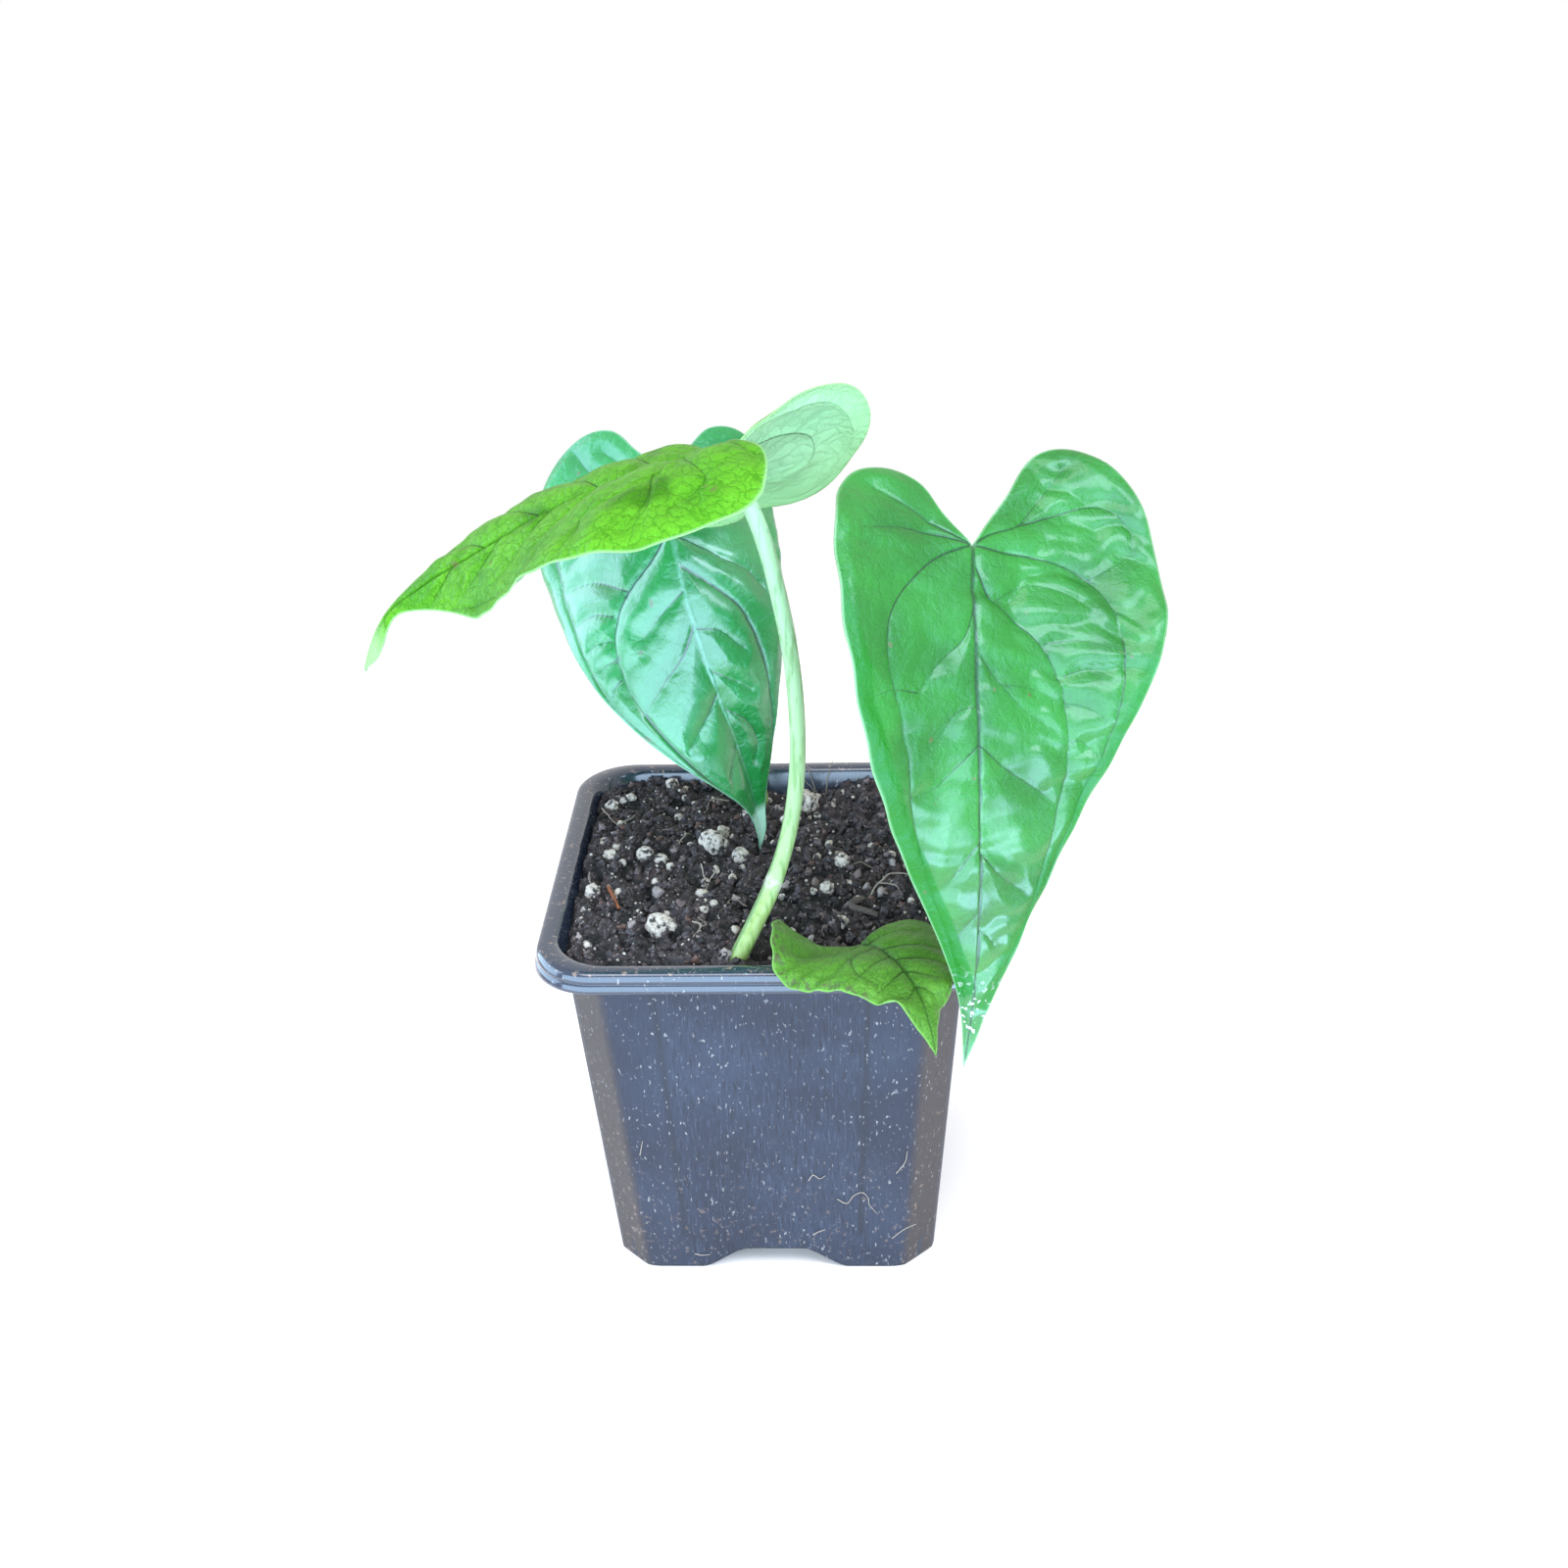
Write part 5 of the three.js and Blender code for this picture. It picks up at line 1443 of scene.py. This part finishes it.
# The leaf that turns sideways at the top: young, thinner and yellower, with its far half rolled over
leafHigh = {
    **commonLeaf,
    "name": "leafHigh", "node": "leaf_high", "slot": "leaf_high", "seed": 303,
    "droop": (1, 0, -8), "dripTip": 2.2, "pillow": 1.0, "veinDepth": 0.5, "ribRise": -0.6, "ripple": 0.6,
    "gloss": 0.36, "shine": 0.12, "netSize": 2.4, "netShow": 0.55, "netBump": 0.5, "mottle": 0.6,
    "veinShow": 1.0, "veinWidth": 1.7, "lineWidth": 1.1, "waveHeight": 0.2,
    "tipPale": 0.8, "tipRange": (0.9, 0.95), "underDepth": 0.8, "patches": 0.75,
    "midrib": [(-6.5, -23, 173), (-9.7, -22, 169), (-16.2, -20.5, 183), (-80, -4.2, 133.5)],
    "faceAtBase": (-0.44, 0.04, 0.9), "faceAtTip": (-0.6, -0.55, 0.57),
    "left": {
        **plainHalf, "width": 1.35, "lobe": 1.44, "lift": -0.18, "lobeFold": -6,
        "taper": 0.5, "fold": (6, 2, -29),
        "curl": (-57, -95, -9),
        "veins": [
            (0.8, [(0, 0), (0, 0.1), (-0.01, 0.2), (0, 0.29), (0.04, 0.37)]),
            (0.7, [(-0.02, 0.17), (-0.06, 0.23), (-0.08, 0.3), (-0.05, 0.36), (0, 0.38)]),
            (0.6, [(0, 0), (-0.06, 0.08), (-0.13, 0.15), (-0.18, 0.22), (-0.17, 0.32), (-0.11, 0.4),
                   (-0.02, 0.43)]),
            (0.6, [(0, 0), (0.05, 0.12), (0.12, 0.24), (0.22, 0.33), (0.34, 0.34), (0.5, 0.27),
                   (0.66, 0.16), (0.8, 0.07)]),
            (0.5, [(0.12, 0), (0.2, 0.1), (0.28, 0.2), (0.36, 0.27)]),
            (0.5, [(0.26, 0), (0.34, 0.09), (0.42, 0.17), (0.5, 0.22)]),
            (0.5, [(0.42, 0), (0.5, 0.07), (0.58, 0.14)]),
            (0.5, [(0.58, 0), (0.64, 0.05), (0.7, 0.09)]),
        ],
    },
    "right": {
        **plainHalf, "width": 1.28, "lobe": 1.32, "lift": -1.32, "lobeFold": -19,
        "taper": 0.5, "fold": (50, -11, -39),
        "curl": (-74, 36, 68), "phase": 2.5,
        "veins": [
            (0.7, [(0, 0), (-0.05, 0.07), (-0.13, 0.12), (-0.2, 0.2)]),
            (0.8, [(0, 0), (0, 0.1), (0.03, 0.2), (0.1, 0.26), (0.2, 0.28), (0.32, 0.28),
                   (0.46, 0.23), (0.6, 0.15), (0.74, 0.08)]),
            (0.5, [(-0.01, 0.12), (-0.08, 0.2), (-0.12, 0.28), (-0.06, 0.35)]),
            (0.6, [(0.1, 0), (0.17, 0.09), (0.25, 0.18), (0.34, 0.25)]),
            (0.6, [(0.24, 0), (0.31, 0.08), (0.39, 0.16), (0.47, 0.22)]),
            (0.5, [(0.38, 0), (0.45, 0.07), (0.53, 0.14), (0.6, 0.16)]),
            (0.5, [(0.53, 0), (0.59, 0.05), (0.66, 0.1)]),
            (0.5, [(0.67, 0), (0.72, 0.03), (0.78, 0.06)]),
            (0.4, [(0.05, 0.22), (0.03, 0.32), (0.06, 0.4)]),
            (0.4, [(0.18, 0.28), (0.17, 0.34), (0.2, 0.4)]),
            (0.4, [(0.3, 0.28), (0.31, 0.33), (0.34, 0.36)]),
        ],
    },
    "colours": {
        "deep": "#50a21c", "light": "#78c830", "vein": "#1a4406", "rib": "#3f7d12", "net": "#357a0c",
        "strip": "#8fdf4f", "tip": "#94b47c", "glare": "#b8f09a",
        "rim": "#b9f0a0", "under": "#a2cf9f", "underDeep": "#8dbc8c", "underNet": "#4d8055",
    },
}

# The small leaf on the soil's edge: older and matt, with soil grains on its back margin
leafRim = {
    **commonLeaf,
    "name": "leafRim", "node": "leaf_rim", "slot": "leaf_rim", "seed": 404, "rows": 170, "columns": 60,
    "pillow": 0.7, "pillowReach": 2, "ripple": 0.5, "veinWidth": 1.2, "veinDepth": 0.4, "gloss": 0.4,
    "netShow": 0.5, "netSize": 1.8, "mottle": 0.6,
    "veinShow": 0.9, "thickness": 0.45, "soiled": 0.8, "patches": 0.5,
    "midrib": [(19, -33.5, 79.7), (28, -44.5, 84.4), (31.5, -61.5, 84.8), (33, -61, 72.6)],
    "faceAtBase": (-0.12, -0.15, 0.98), "faceAtTip": (0.31, -0.63, -0.71),
    "left": {
        **plainHalf, "width": 1.69, "lobe": 1.47, "lift": -1.47, "lobeFold": 24,
        "fold": (-1, 35, -32), "curl": (37, -31, 134),
        "veins": [
            (0.7, [(0.02, 0), (0.04, 0.14), (0.02, 0.28), (0, 0.42)]),
            (0.7, [(0.14, 0), (0.2, 0.12), (0.27, 0.24), (0.34, 0.36)]),
            (0.6, [(0.3, 0), (0.36, 0.1), (0.42, 0.2), (0.48, 0.3)]),
            (0.6, [(0.46, 0), (0.52, 0.08), (0.57, 0.16), (0.6, 0.22)]),
            (0.5, [(0.24, 0.2), (0.34, 0.24), (0.44, 0.24), (0.54, 0.18)]),
            (0.5, [(0.6, 0), (0.66, 0.05), (0.7, 0.1)]),
        ],
    },
    "right": {
        **plainHalf, "width": 1.41, "lobe": 0.21, "lift": -0.13, "lobeFold": -58,
        "fold": (18, -9, -41),
        "curl": (-53, -39, -12),
        "veins": [
            (0.7, [(0.05, 0), (0.1, 0.12), (0.14, 0.24), (0.2, 0.36)]),
            (0.7, [(0.2, 0), (0.26, 0.1), (0.32, 0.2), (0.4, 0.3)]),
            (0.7, [(0.34, 0), (0.4, 0.1), (0.46, 0.19), (0.54, 0.24)]),
            (0.6, [(0.47, 0), (0.53, 0.07), (0.6, 0.14)]),
            (0.6, [(0.6, 0), (0.65, 0.05), (0.7, 0.09)]),
        ],
    },
    "colours": {
        "deep": "#48861c", "light": "#6fae3a", "vein": "#16330a", "rib": "#2f5f14", "net": "#2d681a",
        "strip": "#6fc03a", "tip": "#7cb04a", "glare": "#c8f0a8",
        "rim": "#8fce62", "under": "#9ed38c", "underDeep": "#8bc27a", "underNet": "#5d9150",
    },
}

for leaf in (leafRight, leafBack, leafHigh, leafRim):
    bladeSpots, bladeSkin, bladeMasks, bladeFlat = buildLeaf(leaf)
    piece = meshObject(leaf["name"], bladeSpots, bladeSkin, leafMaterial(leaf), bladeMasks, bladeFlat)
    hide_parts(leaf["node"])
    print(leaf["name"], "made,", len(bladeSkin), "triangles")


# Petioles: smooth fleshy leaf stalks with a groove down one side, paler towards the blade
stemShape = {
    "grooveDepth": 0.14, "grooveWidth": 0.45, "tipShrink": 0.62, "tipShare": 0.015, "approach": 7.0,
    "scarWidth": 0.012, "scarRise": 0.05, "rows": 150, "sides": 28,
    "streakSize": 0.9, "streakStretch": 0.12, "speckSize": 1.2,
    "low": "#b9d478", "top": "#ccffcf", "streak": "#bfe8a6", "streakDeep": "#6aa53c",
    # grooveShade is the painted shade in the groove
    "grooveShade": "#5f9a4a", "speck": "#e6efd2", "scar": "#e9e6cf",
}
stems = [
    {"name": "stalkHigh", "node": "stem_high", "leaf": leafHigh,
     "footRadius": 1.72, "topRadius": 1.6, "meetAt": 0.75,
     "route": [(-13, -31, 58), (-5.1, -35.5, 77.4), (2.2, -29.6, 91.2), (6, -27, 104), (7.6, -25.6, 121),
               (5.8, -24.7, 144)],
     "sheathEnd": 0.36, "sheathFlare": 0.06, "groove": 20, "scar": 0.29},
    {"name": "stalkRight", "node": "stem_right", "leaf": leafRight,
     "footRadius": 2.0, "topRadius": 1.5, "meetAt": 0.85,
     "route": [(27, 2, 58), (32.5, 0.5, 75), (37.5, -4, 105), (38, -8, 135)],
     "sheathEnd": 0.3, "sheathFlare": 0.14, "groove": 60, "scar": 0.25},
    {"name": "stalkBack", "node": "stem_back", "leaf": leafBack,
     "footRadius": 2.0, "topRadius": 1.5, "meetAt": 1.6,
     "route": [(-1, 28, 58), (-4, 33.5, 76), (-10, 35, 100), (-16, 32, 130)],
     "sheathEnd": 0.3, "sheathFlare": 0.14, "groove": 120, "scar": 0.25},
    {"name": "stalkRim", "node": "stem_rim", "leaf": leafRim,
     "footRadius": 1.4, "topRadius": 1.1, "meetAt": 0.85,
     "route": [(19, -16, 63), (20.5, -22, 72)],
     "sheathEnd": 0.2, "sheathFlare": 0.1, "groove": 90, "scar": 0.2},
]


def centripetal(points, count):
    # A smooth curve through the points, with knots spaced by the square root of the chord, as the
    # solid's is. Each span is a cubic with the slopes that its neighbours give.
    p = np.asarray(points, float)
    p = np.vstack([2 * p[0] - p[1], p, 2 * p[-1] - p[-2]])
    u = np.linspace(0, len(p) - 3, count)
    k = np.minimum(u.astype(int), len(p) - 4)
    t = (u - k)[:, None]
    a, b, c, d = (p[k + n] for n in range(4))
    chords = (b - a, c - b, d - c)
    first, middle, last = (np.sqrt(np.linalg.norm(chord, axis=1))[:, None] for chord in chords)
    slopeB = ((b - a) / first - (c - a) / (first + middle) + (c - b) / middle) * middle
    slopeC = ((c - b) / middle - (d - b) / (middle + last) + (d - c) / last) * middle
    cubic = 2 * b - 2 * c + slopeB + slopeC
    square = -3 * b + 3 * c - 2 * slopeB - slopeC
    return b + slopeB * t + square * t**2 + cubic * t**3


def behindBlade(leaf, distance):
    # The spot this far behind the blade's base, square to its face
    p, _, _ = midribCurve(leaf)
    ahead = unit(cubicSlope(p, 0.0))
    face = np.array(leaf["faceAtBase"])
    up = unit(face - np.dot(face, ahead) * ahead)
    return p[0] - up * distance


def stemMaterial(values):
    # Fleshy petiole: smooth skin that lets light in, streaked lengthwise, with painted shade darkening its
    # groove
    material, tree, shader = newMaterial("petioleFleshy")
    spot = objectSpot(tree)
    mask = masksOf(tree, ("rise", "groove", "scar"))
    streak = noise(tree, stretched(tree, spot, values["streakStretch"]), values["streakSize"], 4.0)
    speck = noise(tree, spot, values["speckSize"], 2.0)
    base = mixColours(tree, ranged(tree, mask["rise"], 0.2, 0.9), values["low"], values["top"])
    base = layered(tree, base, [
        (ranged(tree, streak, 0.5, 0.7, 0.0, 0.4), values["streak"]),
        (ranged(tree, streak, 0.5, 0.36, 0.0, 0.55), values["streakDeep"]),
        # Painted shade: the groove is darkened where shade falls in it
        (times(tree, mask["groove"], 0.75), values["grooveShade"]),
        (ranged(tree, speck, 0.7, 0.76, 0.0, 0.7), values["speck"]),
        (times(tree, mask["scar"], ranged(tree, speck, 0.35, 0.55)), values["scar"]),
    ])
    dress(tree, shader, {"Base Color": base, "Normal": bumped(tree, streak, 0.3, 0.2)}, {
        "Roughness": 0.42, "IOR": 1.42, "Subsurface Weight": 0.2, "Subsurface Radius": (0.7, 1.0, 0.4),
        "Subsurface Scale": 0.0012,
    })
    return material


def buildStem(stem, shape):
    # Radius: an even taper, thicker along the sheath, shrunk at the very tip, with a shallow groove
    # down one side and a low ring at the scar
    rows, sides = shape["rows"], shape["sides"]
    ends = [behindBlade(stem["leaf"], shape["approach"] + stem["meetAt"]),
            behindBlade(stem["leaf"], stem["meetAt"])]
    path = centripetal([*stem["route"], *ends], rows)
    s = np.linspace(0, 1, rows)
    low = 0.8 * stem["sheathEnd"]
    step = upTo(s - low, stem["sheathEnd"] - low)
    sheath = 1 + stem["sheathFlare"] * (1 - smoothStep(step))
    radius = (stem["footRadius"] + (stem["topRadius"] - stem["footRadius"]) * s) * sheath
    closing = shape["tipShrink"] + (1 - shape["tipShrink"]) * (1 - s) / shape["tipShare"]
    radius = radius * np.where(s > 1 - shape["tipShare"], closing, 1)
    turned = np.linspace(0, 2 * np.pi, sides, endpoint=False) - np.radians(stem["groove"])
    off = np.arctan2(np.sin(turned), np.cos(turned))
    groove = np.exp(-((off / shape["grooveWidth"]) ** 2))
    scar = np.exp(-(((s - stem["scar"]) / shape["scarWidth"]) ** 2))
    swell = 1 + 0.02 * noiseAt(np.stack([s * 40, s * 0], -1), 2.5, 77) + shape["scarRise"] * scar
    radii = (radius * swell)[:, None] * (1 - shape["grooveDepth"] * groove[None])
    points, faces = tube(path, radii, sides)
    masks = {
        "rise": np.concatenate([np.repeat(s, sides), [0, 1]]),
        "groove": np.concatenate([np.tile(groove, rows), [0, 0]]),
        "scar": np.concatenate([np.repeat(scar, sides), [0, 0]]),
    }
    return points, faces, masks


stemSkin = stemMaterial(stemShape)
for stem in stems:
    stemPoints, stemFaces, stemMasks = buildStem(stem, stemShape)
    piece = meshObject(stem["name"], stemPoints, stemFaces, stemSkin, stemMasks)
    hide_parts(stem["node"])
print("stalks made")


# Floor and light: a pale table in a white room, a soft light overhead, a small bright patch of sky
# high on the right and another low there, and two wide bluish windows, in front and on the left.
# Azimuth runs from the front towards the right. Angles are in degrees, lengths in metres.
stage = {"floor": "#efe2d8", "size": 0.3, "drop": 0.0002, "aimHeight": 100}
lights = [
    {"name": "overhead", "azimuth": 0, "elevation": 68, "distance": 1.0, "size": (0.9, 0.6),
     "radiance": 5.5, "tint": "#eef4ff"},
    {"name": "skyRight", "azimuth": 46, "elevation": 40, "distance": 0.9, "size": (0.5, 0.25),
     "radiance": 15, "tint": "#cfe6ff"},
    {"name": "lowRight", "azimuth": 42, "elevation": -9, "distance": 0.9, "size": (0.45, 0.24),
     "radiance": 8, "tint": "#b4d4ff"},
    {"name": "windowFront", "azimuth": -5, "elevation": 4, "distance": 0.9, "size": (2.4, 0.85),
     "radiance": 6.5, "tint": "#bcdfff"},
    {"name": "windowLeft", "azimuth": -98, "elevation": 14, "distance": 0.9, "size": (1.0, 0.7),
     "radiance": 5.5, "tint": "#bcdfff"},
]


def addStage(values):
    # The floor lies a hair under the feet, and the room round it is plain white
    material, tree, shader = newMaterial("paleTable")
    dress(tree, shader, {}, {"Base Color": colourOf(values["floor"], 1.0), "Roughness": 0.9})
    reach, level = values["size"], -values["drop"]
    corners = [(x * reach, y * reach, level) for x, y in ((-1, -1), (1, -1), (1, 1), (-1, 1))]
    mesh = bpy.data.meshes.new("floor")
    mesh.from_pydata(corners, [], [(0, 1, 2, 3)])
    mesh.materials.append(material)
    floor = bpy.data.objects.new("floor", mesh)
    bpy.context.scene.collection.objects.link(floor)
    world = bpy.data.worlds.new("studio")
    world.use_nodes = True
    world.node_tree.nodes["Background"].inputs["Color"].default_value = (1, 1, 1, 1)
    world.node_tree.nodes["Background"].inputs["Strength"].default_value = 1.0
    bpy.context.scene.world = world


def addLight(light):
    # Power = radiance times pi times the light's area, aimed at the middle of the plant
    data = bpy.data.lights.new(light["name"], "AREA")
    data.shape = "RECTANGLE"
    data.size, data.size_y = light["size"]
    data.energy = light["radiance"] * np.pi * data.size * data.size_y
    data.color = colourOf(light["tint"], 1.0)[:3]
    azimuth, elevation = np.radians([light["azimuth"], light["elevation"]])
    level = np.array([np.sin(azimuth), -np.cos(azimuth), 0])
    back = level * np.cos(elevation) + np.array([0, 0, np.sin(elevation)])
    side = unit(np.cross([0.0, 0.0, 1.0], back))
    turn = Matrix(np.stack([side, np.cross(back, side), back], 1).tolist())
    thing = bpy.data.objects.new(light["name"], data)
    aim = toScene((0, 0, stage["aimHeight"]))
    thing.matrix_world = Matrix.Translation(aim + back * light["distance"]) @ turn.to_4x4()
    bpy.context.scene.collection.objects.link(thing)


addStage(stage)
for light in lights:
    addLight(light)
bpy.context.scene.view_settings.view_transform = "Standard"

print("stage set")
